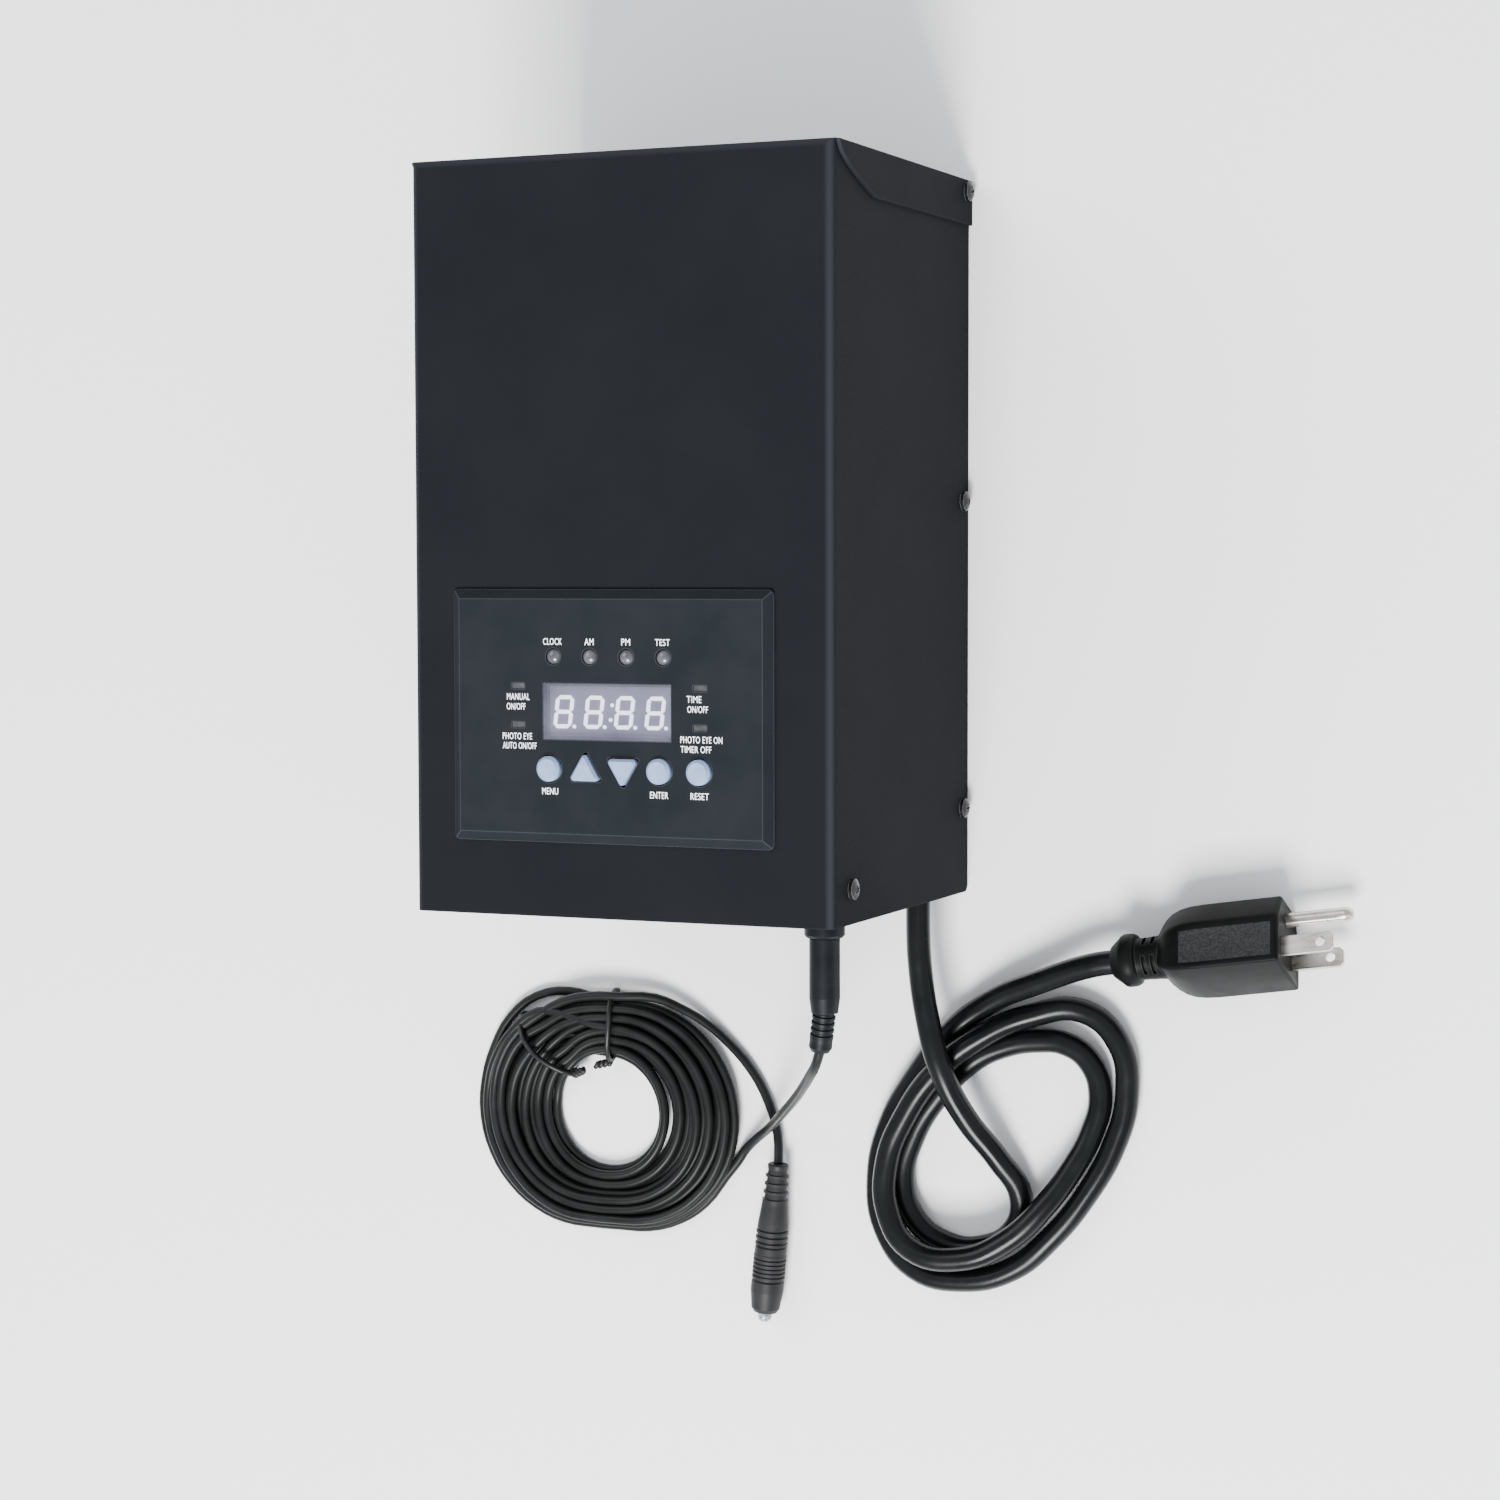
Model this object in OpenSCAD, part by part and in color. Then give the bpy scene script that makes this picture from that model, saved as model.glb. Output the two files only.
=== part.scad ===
// Wall-mounted timer and light-sensor power box for a poultry house door.
// The box lies on its back: Z = 0 is the wall face, +Y is up the wall once it hangs,
// +X is its right-hand side. Both leads lie on the surface that the back lies on.

/* [Box] */
// Width of the steel box
box_w = 145; // [135:1:170]
// Height of the steel box, from skirt to top
box_h = 240; // [225:1:280]
// Depth of the steel box, from wall to front
box_d = 124; // [118:1:140]
// Thickness of the sheet steel
sheet = 1.2; // [1:0.1:1.5]
// Outer radius of the folded vertical edges
bend_r = 3; // [2:0.5:5]
// How far the floor of the box is set up inside the skirt
skirt = 3; // [2:0.5:6]
// Depth of the side flaps of the top
flap_h = 14.5; // [12:0.5:20]

/* [Control panel] */
// Centre of the panel across the box
panel_x = -1.8; // [-6:0.1:6]
// Centre of the panel up the box
panel_y = -56.2; // [-60:0.1:-50]
// Width of the raised panel
panel_w = 111; // [108:1:118]
// Height of the raised panel
panel_h = 80; // [78:1:88]
// How far the panel stands off the box
panel_t = 3; // [2.5:0.5:5]
// Width of the slope round the panel
panel_slope = 3; // [1:0.5:4]
// Spacing of the lamps and buttons
pitch = 12.7; // [12:0.1:13]
// Diameter of the round buttons
button_d = 8; // [6:0.5:9]
// How far the buttons stand out of the panel
button_up = 2; // [1:0.5:4]
// Diameter of the round lamps
lamp_d = 5; // [3:0.5:5.5]
// Width of the display window
window_w = 44.2; // [40:0.1:46]
// Height of the display window
window_h = 17.6; // [15:0.1:19]
// Height of one figure on the display
figure_h = 10.4; // [8:0.1:12]

/* [Leads] */
// Diameter of the mains lead
mains_d = 8.2; // [7:0.1:8.2]
// Diameter of the sensor lead
lead_d = 3.3; // [3:0.1:3.4]
// Largest diameter of the light sensor
sensor_d = 11.6; // [10:0.1:12]
// Roll of the mains plug about its own axis, so that it rests on one side
plug_roll = 30; // [28:1:32]

/* [Hidden] */
$fn = 48;
side_x = box_w / 2;
top_y = box_h / 2;
floor_y = -top_y + skirt;
front_in = box_d - sheet;
gap = 0.3;
fit = 0.05;
face_z = box_d + panel_t;
back_x = side_x - sheet - gap;

// panel layout, measured from the panel's centre
lamp_x = [for (i = [0:3]) (i - 1.5) * pitch];
lamp_y = 18.9;
bar_x = 31.5;
bar_ys = [9.5, -2.8];
window_x = -0.5;
window_y = 1.6;
button_y = -16.5;
menu_x = -20.5;
up_x = -7.8;
down_x = 5.2;
enter_x = 17.7;
reset_x = 31.3;
button_play = 0.45;
triangle_r = 6.4;
board_z = 114;
board_t = 1.6;
boss_x = 45;
boss_y = 28;
clamp_x = 52;
clamp_y = 36.5;

// fixings
cover_screw_yz = [[116, 5.2], [12.5, 5.2], [-91.2, 5.2], [-109, 107.8]];
wall_hole = [50, 108];
power_y = -63;
power_w = 106;
power_h = 68;
post_x = 48;
post_y = 29;
post_h = 8;
coil_y = 48;

// outlets in the floor of the box
jack_x = 61.5;
jack_z = 103;
mains_x = 62;
mains_z = 20;
outlet_x = 0;
outlet_z = 60;

// stud positions for the earth bond
earth_pos = [-60, -102];

// mains lead from the bush in the floor of the box to its plug
mains_route = [[62, -121, 20], [62, -131, 20], [62.5, -142, 20], [65, -161, 19.5],
    [70, -179, 19.4], [77, -196, 13.5], [86.5, -210, 8], [93.5, -222.5, 4.7],
    [91, -234.5, 4.2], [79.5, -241.5, 4.2], [66, -241, 4.2], [55, -233.5, 4.2],
    [50.8, -220.5, 4.2], [54.7, -204.8, 4.2], [63.6, -190.4, 4.2], [75.5, -178, 4.2],
    [87.5, -171.8, 4.2], [99, -169.4, 4.2], [109.5, -170, 4.2], [117.8, -175.8, 4.2],
    [121.3, -187, 4.3], [118.5, -199.5, 5.2], [113.5, -210, 7.6], [104.5, -223.5, 11.4],
    [91.5, -236.5, 13.6], [75, -244, 14.4], [57.5, -242, 14.8], [48.5, -230.5, 13],
    [47.5, -213.5, 11.6], [54.3, -196.5, 11.4], [65.3, -181, 11.2], [81, -168.2, 9.8],
    [97.5, -160.6, 6.6], [115, -158.4, 4.4], [127.5, -168.5, 4.2], [130.5, -185.5, 4.2],
    [126, -203.5, 4.4], [117, -220, 5.4], [105, -235.5, 6.2], [90.5, -248, 6.2],
    [73, -253, 6.4], [56, -250.5, 6.4], [44.5, -237.5, 5.4], [41.6, -220, 4.4],
    [45.8, -201.5, 4.2], [55.3, -184.6, 4.2], [67.6, -168.8, 5], [83.8, -156.4, 7],
    [102.5, -148.2, 10.4], [121, -141.6, 13.6], [131.8, -139.6, 14]];
plug_at = mains_route[len(mains_route) - 1];
plug_turn = 8.5;

// sensor lead from its plug down to the coil, and from the coil to the sensor
relief_lean = [-10, 8];
lead_route = [[59.1, -161.2, 101.1], [56.9, -165.9, 99], [52.1, -171, 92.5], [47, -175.2, 84],
    [40.7, -179.9, 73], [33.2, -185.1, 60], [24.9, -190.6, 46], [16.4, -196.1, 31.5],
    [8.9, -200.9, 19], [2, -205.7, 10], [-5.2, -210.8, 4.6], [-12, -216, 2]];
tail_route = [[-33, -166.5, 4.6], [-24.5, -170, 3.4], [-16, -177, 2.2], [-7, -186.5, 1.8],
    [-0.6, -197.5, 1.8], [3.2, -208.5, 2.7], [4.8, -218, 5.8]];
sensor_at = tail_route[len(tail_route) - 1];
sensor_turn = -5.6;
coil_mid = [-62.5, -204.5];
coil_r = 43;
coil_shift = 10;
coil_hole = 19.5;
coil_top = 9.4;

// ---------- helpers ----------

function unit(v) = v / norm(v);

// direction of travel at point i of a route
function heading(p, i) = unit(p[min(i + 1, len(p) - 1)] - p[max(i - 1, 0)]);

// sideways vector that turns as little as possible from one ring to the next
function carried(p, i) = i == 0
    ? unit(cross(heading(p, 0), abs(heading(p, 0)[2]) > 0.9 ? [1, 0, 0] : [0, 0, 1]))
    : let (s = carried(p, i - 1), h = heading(p, i)) unit(s - h * (s * h));

// tube of one diameter along a route
module tube(p, d, sides) {
    rings = [for (i = [0:len(p) - 1])
        let (h = heading(p, i), a = carried(p, i), b = cross(h, a))
        [for (k = [0:sides - 1]) p[i] + d / 2 * (a * cos(360 * k / sides) + b * sin(360 * k / sides))]];
    skin = [for (i = [0:len(p) - 2], k = [0:sides - 1])
        let (m = (k + 1) % sides)
        [i * sides + k, (i + 1) * sides + k, (i + 1) * sides + m, i * sides + m]];
    near = [[for (k = [0:sides - 1]) k]];
    far = [[for (k = [sides - 1:-1:0]) (len(p) - 1) * sides + k]];
    polyhedron([for (r = rings) each r], concat(skin, near, far), convexity = 8);
}

// flat shape with two rounded corners at its +Y end, its foot on Y = 0
module rounded_top(w, h, r) {
    translate([-w / 2, 0]) square([w, h - r]);
    translate([-w / 2 + r, 0]) square([w - 2 * r, h]);
    for (s = [-1, 1]) translate([s * (w / 2 - r), h - r]) circle(r = r);
}

// flat rectangle with four rounded corners
module rounded(w, h, r) {
    square([w - 2 * r, h], center = true);
    square([w, h - 2 * r], center = true);
    for (x = [-1, 1], y = [-1, 1]) translate([x * (w / 2 - r), y * (h / 2 - r)]) circle(r = r);
}

// the same shape at each of four mirrored places
module four(x, y) {
    for (i = [-1, 1], j = [-1, 1]) translate([i * x, j * y, 0]) children();
}

// turns a shape drawn up +Z so that it points down -Y from a place on the box
module down_from(x, y, z) {
    translate([x, y, z]) rotate([90, 0, 0]) children();
}

module on_panel(x, y, z) {
    translate([panel_x + x, panel_y + y, z]) children();
}

// small screw, head upwards, its seat on Z = 0
module pan_screw(shank, len, head, head_h) {
    difference() {
        union() {
            translate([0, 0, -len]) cylinder(r = shank, h = len);
            rotate_extrude() {
                square([head, head_h * 0.45]);
                intersection() {
                    square([head, head_h]);
                    translate([0, head_h - head * 1.7]) circle(r = head * 1.7);
                }
            }
        }
        for (a = [0, 90]) rotate(a) translate([-head * 0.55, -head * 0.11, head_h * 0.45])
            cube([head * 1.1, head * 0.22, head_h]);
    }
}

// triangle with rounded corners, one of them pointing up +Y
module triangle(r, soft) {
    offset(r = soft) polygon([for (a = [90, 210, 330]) (r - 2 * soft) * [cos(a) * 0.98, sin(a) * 0.95]]);
}

// ---------- sheet metal ----------

// solid block of the cover, shrunk by t all round except at back and skirt
module cover_block(t) {
    r = bend_r - t;
    intersection() {
        translate([0, top_y - t, -1]) rotate([90, 0, 0]) linear_extrude(box_h + 1)
            rounded_top(box_w - 2 * t, box_d + 1 - t, r);
        rotate([0, 90, 0]) translate([-box_d + t, 0, -side_x]) linear_extrude(box_w)
            union() {
                translate([r, -top_y - 1]) square([box_d + 2, box_h + 1 - t]);
                translate([0, -top_y - 1]) square([box_d + 2, box_h + 1 - t - r]);
                translate([r, top_y - t - r]) circle(r = r);
            }
    }
}

// how far a side flap hangs below the top at a depth behind the front
function flap_drop(b) = flap_h * pow(min(b / 32, 1), 0.62);

module side_flap() {
    steps = 16;
    edge = [for (i = [0:steps]) [box_d - 3.4 - 32 * i / steps, top_y - flap_drop(32 * i / steps) - 0.4]];
    translate([side_x, 0, 0]) multmatrix([[0, 0, 1, 0], [0, 1, 0, 0], [1, 0, 0, 0]])
        linear_extrude(sheet) difference() {
            polygon(concat([[box_d - 3.4, top_y - 0.1]], edge, [[0, top_y - flap_h - 0.4], [0, top_y - 0.1]]));
            translate([cover_screw_yz[0][1], cover_screw_yz[0][0]]) circle(r = 1.8);
        }
}

module front_cover() {
    color([0.17, 0.18, 0.2]) difference() {
        union() {
            difference() {
                cover_block(0);
                cover_block(sheet);
                translate([-side_x - 1, -top_y - 2, -2]) cube([box_w + 2, box_h + 4, 2]);
                translate([-side_x - 1, -top_y - 2, -2]) cube([box_w + 2, 2, box_d + 4]);
            }
            side_flap();
            mirror([1, 0, 0]) side_flap();
        }
        on_panel(0, 0, front_in - 1) linear_extrude(sheet + 2) rounded(100, 69, 3);
        on_panel(0, 0, front_in - 1) four(clamp_x, clamp_y) cylinder(r = 1.8, h = sheet + 2);
        for (s = [-1, 1], p = cover_screw_yz) translate([s * side_x, p[0], p[1]])
            rotate([0, 90, 0]) cylinder(r = 1.8, h = 4, center = true);
        for (s = [-1, 1]) translate([s * side_x, -top_y, 0]) rotate([0, 90, 0]) difference() {
            cube([5, 5, 6], center = true);
            translate([-2.5, 2.5, 0]) cylinder(r = 2.5, h = 8, center = true);
        }
    }
}

module back_chassis() {
    color([0.16, 0.17, 0.18]) difference() {
        union() {
            translate([-back_x, floor_y, 0]) cube([2 * back_x, 118.3 - floor_y, sheet]);
            translate([-back_x, floor_y, 0]) cube([2 * back_x, sheet, front_in - 3 * gap]);
            translate([-back_x, floor_y, front_in - 3 * gap - sheet]) cube([2 * back_x, 12, sheet]);
            for (s = [0, 1]) mirror([s, 0, 0]) translate([back_x - sheet, 0, 0]) {
                translate([0, floor_y, 0]) cube([sheet, 118.3 - floor_y, 11]);
                translate([0, floor_y, 0]) cube([sheet, 13.5, front_in - 3 * gap]);
            }
            translate([-60, 118.3 - sheet, 0]) cube([120, sheet, 11]);
        }
        four(wall_hole[0], wall_hole[1]) translate([0, 0, -1]) cylinder(r = 2.6, h = 4);
        for (s = [-1, 1], p = cover_screw_yz) translate([s * back_x, p[0], p[1]])
            rotate([0, 90, 0]) cylinder(r = 1.5, h = 6, center = true);
        down_from(jack_x, floor_y + sheet + 1, jack_z) cylinder(r = 5.3, h = sheet + 2);
        down_from(mains_x, floor_y + sheet + 1, mains_z) cylinder(r = 7.1, h = sheet + 2);
        down_from(outlet_x, floor_y + sheet + 1, outlet_z) cylinder(r = 7.1, h = sheet + 2);
    }
}

module cover_screws() {
    color([0.1, 0.1, 0.1]) for (s = [-1, 1], i = [0:3])
        translate([s * (side_x + (i == 0 ? sheet : 0)), cover_screw_yz[i][0], cover_screw_yz[i][1]])
            rotate([0, s * 90, 0]) rotate(20 + 35 * i) pan_screw(1.45, 5.5, 3.3, 2.3);
}

// ---------- control panel ----------

module panel_openings() {
    for (x = lamp_x) translate([x, lamp_y]) circle(r = lamp_d / 2 + 0.15);
    for (s = [-1, 1], y = bar_ys) translate([s * bar_x, y]) square([4.6, 1.9], center = true);
    for (x = [menu_x, enter_x, reset_x]) translate([x, button_y])
        circle(r = button_d / 2 + button_play);
    translate([window_x, window_y]) square([window_w + 0.1, window_h + 0.1], center = true);
}

module panel_bezel() {
    r = 2;
    color([0.15, 0.16, 0.17]) translate([panel_x, panel_y, 0]) difference() {
        union() {
            intersection() {
                translate([0, 0, box_d]) linear_extrude(panel_t) rounded(panel_w, panel_h, r);
                multmatrix([[0, 0, 1, -panel_w / 2], [1, 0, 0, 0], [0, 1, 0, 0]]) linear_extrude(panel_w)
                    polygon([[-panel_h / 2, box_d], [panel_h / 2, box_d], [panel_h / 2, box_d + 0.8],
                        [panel_h / 2 - panel_slope, face_z], [-panel_h / 2 + panel_slope, face_z],
                        [-panel_h / 2, box_d + 0.8]]);
                multmatrix([[1, 0, 0, 0], [0, 0, -1, panel_h / 2], [0, 1, 0, 0]]) linear_extrude(panel_h)
                    polygon([[-panel_w / 2, box_d], [panel_w / 2, box_d], [panel_w / 2, box_d + 0.8],
                        [panel_w / 2 - panel_slope, face_z], [-panel_w / 2 + panel_slope, face_z],
                        [-panel_w / 2, box_d + 0.8]]);
            }
            four(boss_x, boss_y) translate([0, 0, board_z]) cylinder(r = 3, h = box_d - board_z + 0.5);
        }
        translate([0, 0, box_d - 1]) linear_extrude(panel_t + 2) panel_openings();
        translate([up_x, button_y - 0.5, box_d - 1]) linear_extrude(panel_t + 2)
            triangle(triangle_r + 0.7, 0.9);
        translate([down_x, button_y + 0.5, box_d - 1]) rotate(180) linear_extrude(panel_t + 2)
            triangle(triangle_r + 0.7, 0.9);
        four(boss_x, boss_y) translate([0, 0, board_z - 1]) cylinder(r = 1.25, h = 9);
        four(clamp_x, clamp_y) translate([0, 0, box_d - 1]) cylinder(r = 1.25, h = 2.4);
    }
}

module panel_clamp() {
    color([0.25, 0.25, 0.27]) translate([panel_x, panel_y, front_in - 1.8]) difference() {
        linear_extrude(1.8) rounded(110, 79, 4);
        translate([0, 0, -1]) linear_extrude(4) rounded(97, 66, 3);
        four(clamp_x, clamp_y) translate([0, 0, -1]) cylinder(r = 1.8, h = 4);
    }
}

module clamp_screws() {
    color([0.7, 0.7, 0.7]) on_panel(0, 0, front_in - 1.8) four(clamp_x, clamp_y)
        mirror([0, 0, 1]) pan_screw(1.2, 4, 2.6, 1.6);
}

module display_window() {
    color([0.6, 0.6, 0.68, 0.5]) on_panel(window_x, window_y, box_d + 0.6) intersection() {
        translate([0, 0, 1.6]) cube([window_w, window_h, 3.2], center = true);
        multmatrix([[0, 0, 1, -window_w / 2], [1, 0, 0, 0], [0, 1, 0, 0]]) linear_extrude(window_w)
            polygon([[-window_h / 2, -1], [window_h / 2, -1], [window_h / 2, 2.3],
                [window_h / 2 - 1.6, 3.1], [-window_h / 2 + 1.6, 3.1], [-window_h / 2, 2.3]]);
        multmatrix([[1, 0, 0, 0], [0, 0, -1, window_h / 2], [0, 1, 0, 0]]) linear_extrude(window_h)
            polygon([[-window_w / 2, -1], [window_w / 2, -1], [window_w / 2, 2.3],
                [window_w / 2 - 1.6, 3.1], [-window_w / 2 + 1.6, 3.1], [-window_w / 2, 2.3]]);
    }
}

module display_module() {
    color([0.55, 0.55, 0.63]) on_panel(window_x, window_y, board_z) {
        translate([0, 0, 4.9]) cube([42.6, 15.8, 9.8], center = true);
        for (i = [0:5], s = [-1, 1]) translate([(i - 2.5) * 2.54, s * 6.35, -board_t - 1.2])
            cylinder(r = 0.3, h = 3);
    }
}

// one bar of a figure, with mitred ends
module figure_bar(len) {
    w = 0.62;
    polygon([[-len / 2, 0], [-len / 2 + w, w], [len / 2 - w, w], [len / 2, 0],
        [len / 2 - w, -w], [-len / 2 + w, -w]]);
}

module figure() {
    h = figure_h - 1.2;
    w = h * 0.56;
    multmatrix([[1, 0.12, 0, 0], [0, 1, 0, 0], [0, 0, 1, 0]]) linear_extrude(0.25) {
        for (k = [-1, 0, 1]) translate([0, k * h / 2]) figure_bar(w - 0.25);
        for (x = [-1, 1], y = [-1, 1]) translate([x * w / 2, y * h / 4]) rotate(90) figure_bar(h / 2 - 0.25);
    }
    translate([w / 2 + 1.1, -h / 2, 0]) cylinder(r = 0.6, h = 0.25);
}

module display_figures() {
    color([0.95, 0.95, 1]) on_panel(window_x, window_y - 0.2, board_z + 9.8) {
        for (i = [0:3]) translate([(i - 1.5) * 10.6 - 0.5, 0, 0]) figure();
        for (s = [-1, 1]) translate([0.25 + s * 0.3, s * 2.3, 0]) cylinder(r = 0.6, h = 0.25);
    }
}

module status_lamps() {
    color([0.5, 0.5, 0.55]) for (x = lamp_x) on_panel(x, lamp_y, 0) {
        rotate_extrude() {
            translate([0, board_z + 5]) square([lamp_d / 2, face_z - board_z - 5.6]);
            intersection() {
                translate([0, face_z - 0.6]) square([lamp_d / 2, 3]);
                translate([0, face_z - 2.1]) circle(r = lamp_d / 2 + 0.42);
            }
        }
        for (s = [-1, 1]) translate([s * 1.27, 0, board_z - board_t - 1]) cylinder(r = 0.25, h = 8);
    }
}

module mode_lamps() {
    color([0.3, 0.3, 0.33]) for (s = [-1, 1], y = bar_ys) on_panel(s * bar_x, y, 0) {
        translate([-2.2, -0.85, board_z + 4]) cube([4.4, 1.7, face_z - board_z - 4.3]);
        for (k = [-1, 1]) translate([k * 1.27, 0, board_z - board_t - 1]) cylinder(r = 0.25, h = 7.2);
    }
}

// body of a button below the face, with the rim that keeps it in
module button_stem(r) {
    translate([0, 0, 122.6]) cylinder(r = r, h = 1.1);
    translate([0, 0, 120]) cylinder(r = 1.7, h = 2.8);
}

module round_button(x) {
    color([0.78, 0.81, 0.87]) on_panel(x, button_y, 0) {
        rotate_extrude() polygon([[0, 123], [button_d / 2, 123], [button_d / 2, face_z + button_up - 0.9],
            [button_d / 2 - 0.9, face_z + button_up], [0, face_z + button_up]]);
        button_stem(button_d / 2 + 1);
    }
}

// the three rounded corners of a triangular key
module corners(r, soft) {
    for (a = [90, 210, 330]) translate((r - 2 * soft) * [cos(a) * 0.98, sin(a) * 0.95]) children();
}

module triangle_button(x, turn) {
    top = face_z + button_up;
    color([0.78, 0.8, 0.85]) on_panel(x, button_y + (turn == 0 ? -0.5 : 0.5), 0) rotate(turn) {
        hull() corners(triangle_r, 1.1) {
            translate([0, 0, 123]) cylinder(r = 1.1, h = top - 123.9, $fn = 32);
            translate([0, 0, top - 0.5]) cylinder(r = 0.35, h = 0.5, $fn = 32);
        }
        hull() corners(triangle_r + 1.8, 0.8) translate([0, 0, 122.6]) cylinder(r = 0.8, h = 1, $fn = 32);
        translate([0, 0, 120]) cylinder(r = 1.7, h = 2.8);
    }
}

module menu_button() { round_button(menu_x); }
module up_button() { triangle_button(up_x, 0); }
module down_button() { triangle_button(down_x, 180); }
module enter_button() { round_button(enter_x); }
module reset_button() { round_button(reset_x); }

module control_board() {
    color([0.1, 0.4, 0.2]) on_panel(0, 0, board_z - board_t) difference() {
        linear_extrude(board_t) rounded(96, 64, 2);
        four(boss_x, boss_y) translate([0, 0, -1]) cylinder(r = 1.6, h = 4);
        for (i = [0:5], s = [-1, 1]) translate([window_x + (i - 2.5) * 2.54, window_y + s * 6.35, -1])
            cylinder(r = 0.3, h = 4);
        for (x = lamp_x, s = [-1, 1]) translate([x + s * 1.27, lamp_y, -1]) cylinder(r = 0.25, h = 4);
        for (s = [-1, 1], y = bar_ys, k = [-1, 1]) translate([s * bar_x + k * 1.27, y, -1])
            cylinder(r = 0.25, h = 4);
    }
}

module tact_switches() {
    color([0.2, 0.2, 0.2]) {
        for (x = [menu_x, enter_x, reset_x]) on_panel(x, button_y, board_z) tact_switch();
        on_panel(up_x, button_y - 0.5, board_z) tact_switch();
        on_panel(down_x, button_y + 0.5, board_z) tact_switch();
    }
}

module tact_switch() {
    translate([-3, -3, 0]) cube([6, 6, 3.5]);
    cylinder(r = 1.7, h = 5);
}

module control_screws() {
    color([0.75, 0.75, 0.75]) on_panel(0, 0, board_z - board_t) four(boss_x, boss_y)
        mirror([0, 0, 1]) pan_screw(1.2, 7, 2.7, 1.8);
}

// ---------- power side ----------

module power_board() {
    color([0.12, 0.38, 0.22]) translate([0, power_y, sheet + post_h]) difference() {
        linear_extrude(board_t) rounded(power_w, power_h, 2);
        four(post_x, post_y) translate([0, 0, -1]) cylinder(r = 1.6, h = 4);
    }
}

module power_posts() {
    color([0.8, 0.8, 0.8]) translate([0, power_y, sheet]) four(post_x, post_y) difference() {
        cylinder(r = 3, h = post_h, $fn = 6);
        translate([0, 0, 1]) cylinder(r = 1.25, h = post_h);
    }
}

module power_screws() {
    color([0.75, 0.75, 0.75]) translate([0, power_y, sheet + post_h + board_t])
        four(post_x, post_y) pan_screw(1.2, 6, 2.7, 1.8);
}

module on_power(x, y) {
    translate([x, power_y + y, sheet + post_h + board_t]) children();
}

module relay() {
    color([0.15, 0.3, 0.55]) on_power(-18, 8) translate([-9.5, -14.5, 0]) cube([19, 29, 16]);
}

module fuse() {
    color([0.9, 0.9, 0.85]) on_power(22, -22) translate([-10, 0, 6]) rotate([0, 90, 0]) {
        cylinder(r = 2.3, h = 20);
        for (z = [0, 15]) translate([0, 0, z]) cylinder(r = 2.6, h = 5);
    }
}

module fuse_clips() {
    color([0.8, 0.75, 0.5]) on_power(22, -22) for (x = [-8.8, 6.2]) translate([x, 0, 0]) difference() {
        translate([0, -3.4, 0]) cube([2.6, 6.8, 7.5]);
        translate([-1, 0, 6]) rotate([0, 90, 0]) cylinder(r = 2.65, h = 5);
        translate([-1, -1.8, 6]) cube([5, 3.6, 4]);
    }
}

module filter_capacitor() {
    color([0.15, 0.15, 0.2]) on_power(10, 10) cylinder(r = 8, h = 25);
}

module terminal_block() {
    color([0.2, 0.5, 0.3]) on_power(-22, -24) difference() {
        translate([-18, -6, 0]) cube([36, 12, 14]);
        for (i = [0:3]) translate([-13.5 + 9 * i, 0, 0]) {
            translate([0, -7, 5]) rotate([-90, 0, 0]) cylinder(r = 2.2, h = 8);
            translate([0, 0, 9]) cylinder(r = 2.4, h = 6);
        }
    }
}

module transformer_pad() {
    color([0.1, 0.1, 0.1]) translate([0, coil_y, sheet]) difference() {
        cylinder(r = 46, h = 1.5);
        translate([0, 0, -1]) cylinder(r = 4, h = 4);
    }
}

module transformer() {
    color([0.75, 0.6, 0.25]) translate([0, coil_y, sheet + 1.5]) rotate_extrude()
        translate([18, 0]) rounded_block(30, 46, 7);
}

// flat rectangle with rounded corners, its lower left corner at the origin
module rounded_block(w, h, r) {
    translate([w / 2, h / 2]) rounded(w, h, r);
}

module transformer_plate() {
    color([0.7, 0.7, 0.72]) translate([0, coil_y, sheet + 47.5]) rotate_extrude()
        polygon([[3.2, -2], [14, -2], [19, 0], [40, 0], [40, 1.5], [18.4, 1.5], [13.4, -0.5], [3.2, -0.5]]);
}

module transformer_stud() {
    color([0.75, 0.75, 0.75]) translate([0, coil_y, sheet]) cylinder(r = 3, h = 56);
}

module transformer_nut() {
    color([0.75, 0.75, 0.75]) translate([0, coil_y, sheet + 47]) difference() {
        cylinder(r = 6, h = 5, $fn = 6);
        translate([0, 0, -1]) cylinder(r = 3.05, h = 8);
    }
}

module earth_stud() {
    color([0.75, 0.75, 0.75]) translate([earth_pos[0], earth_pos[1], sheet]) cylinder(r = 2, h = 12);
}

module earth_lug() {
    color([0.8, 0.78, 0.7]) translate([earth_pos[0], earth_pos[1], sheet + 1]) {
        difference() {
            union() {
                cylinder(r = 4, h = 0.8);
                translate([0, -1.5, 0]) cube([8, 3, 0.8]);
                translate([0, 0, 0.8]) cylinder(r = 4, h = 3.2, $fn = 6);
            }
            translate([0, 0, -1]) cylinder(r = 2.05, h = 8);
        }
    }
}

// ---------- outlets in the floor ----------

// ring bush clipped in a hole of the floor, for the leads to the door motor
module outlet_bush() {
    color([0.08, 0.08, 0.08]) translate([outlet_x, floor_y, outlet_z]) rotate([-90, 0, 0])
        rotate_extrude() polygon([[4.5, -1.6], [8.6, -1.6], [9.4, -0.8], [9.4, 0], [7, 0],
            [7, sheet], [8.6, sheet], [8, 4.5], [4.5, 4.5]]);
}

// the mains bush is a tapered relief, most of it inside the box
module mains_bush() {
    r = mains_d / 2 + 0.9;
    color([0.08, 0.08, 0.08]) translate([mains_x, floor_y, mains_z]) rotate([-90, 0, 0])
        rotate_extrude() polygon([[0, -4], [r, -4], [7, -1.4], [8.6, -1.4], [8.6, 0], [7, 0],
            [7, sheet], [7.6, sheet], [7.2, 5], [6, 22], [0, 22]]);
}

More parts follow.
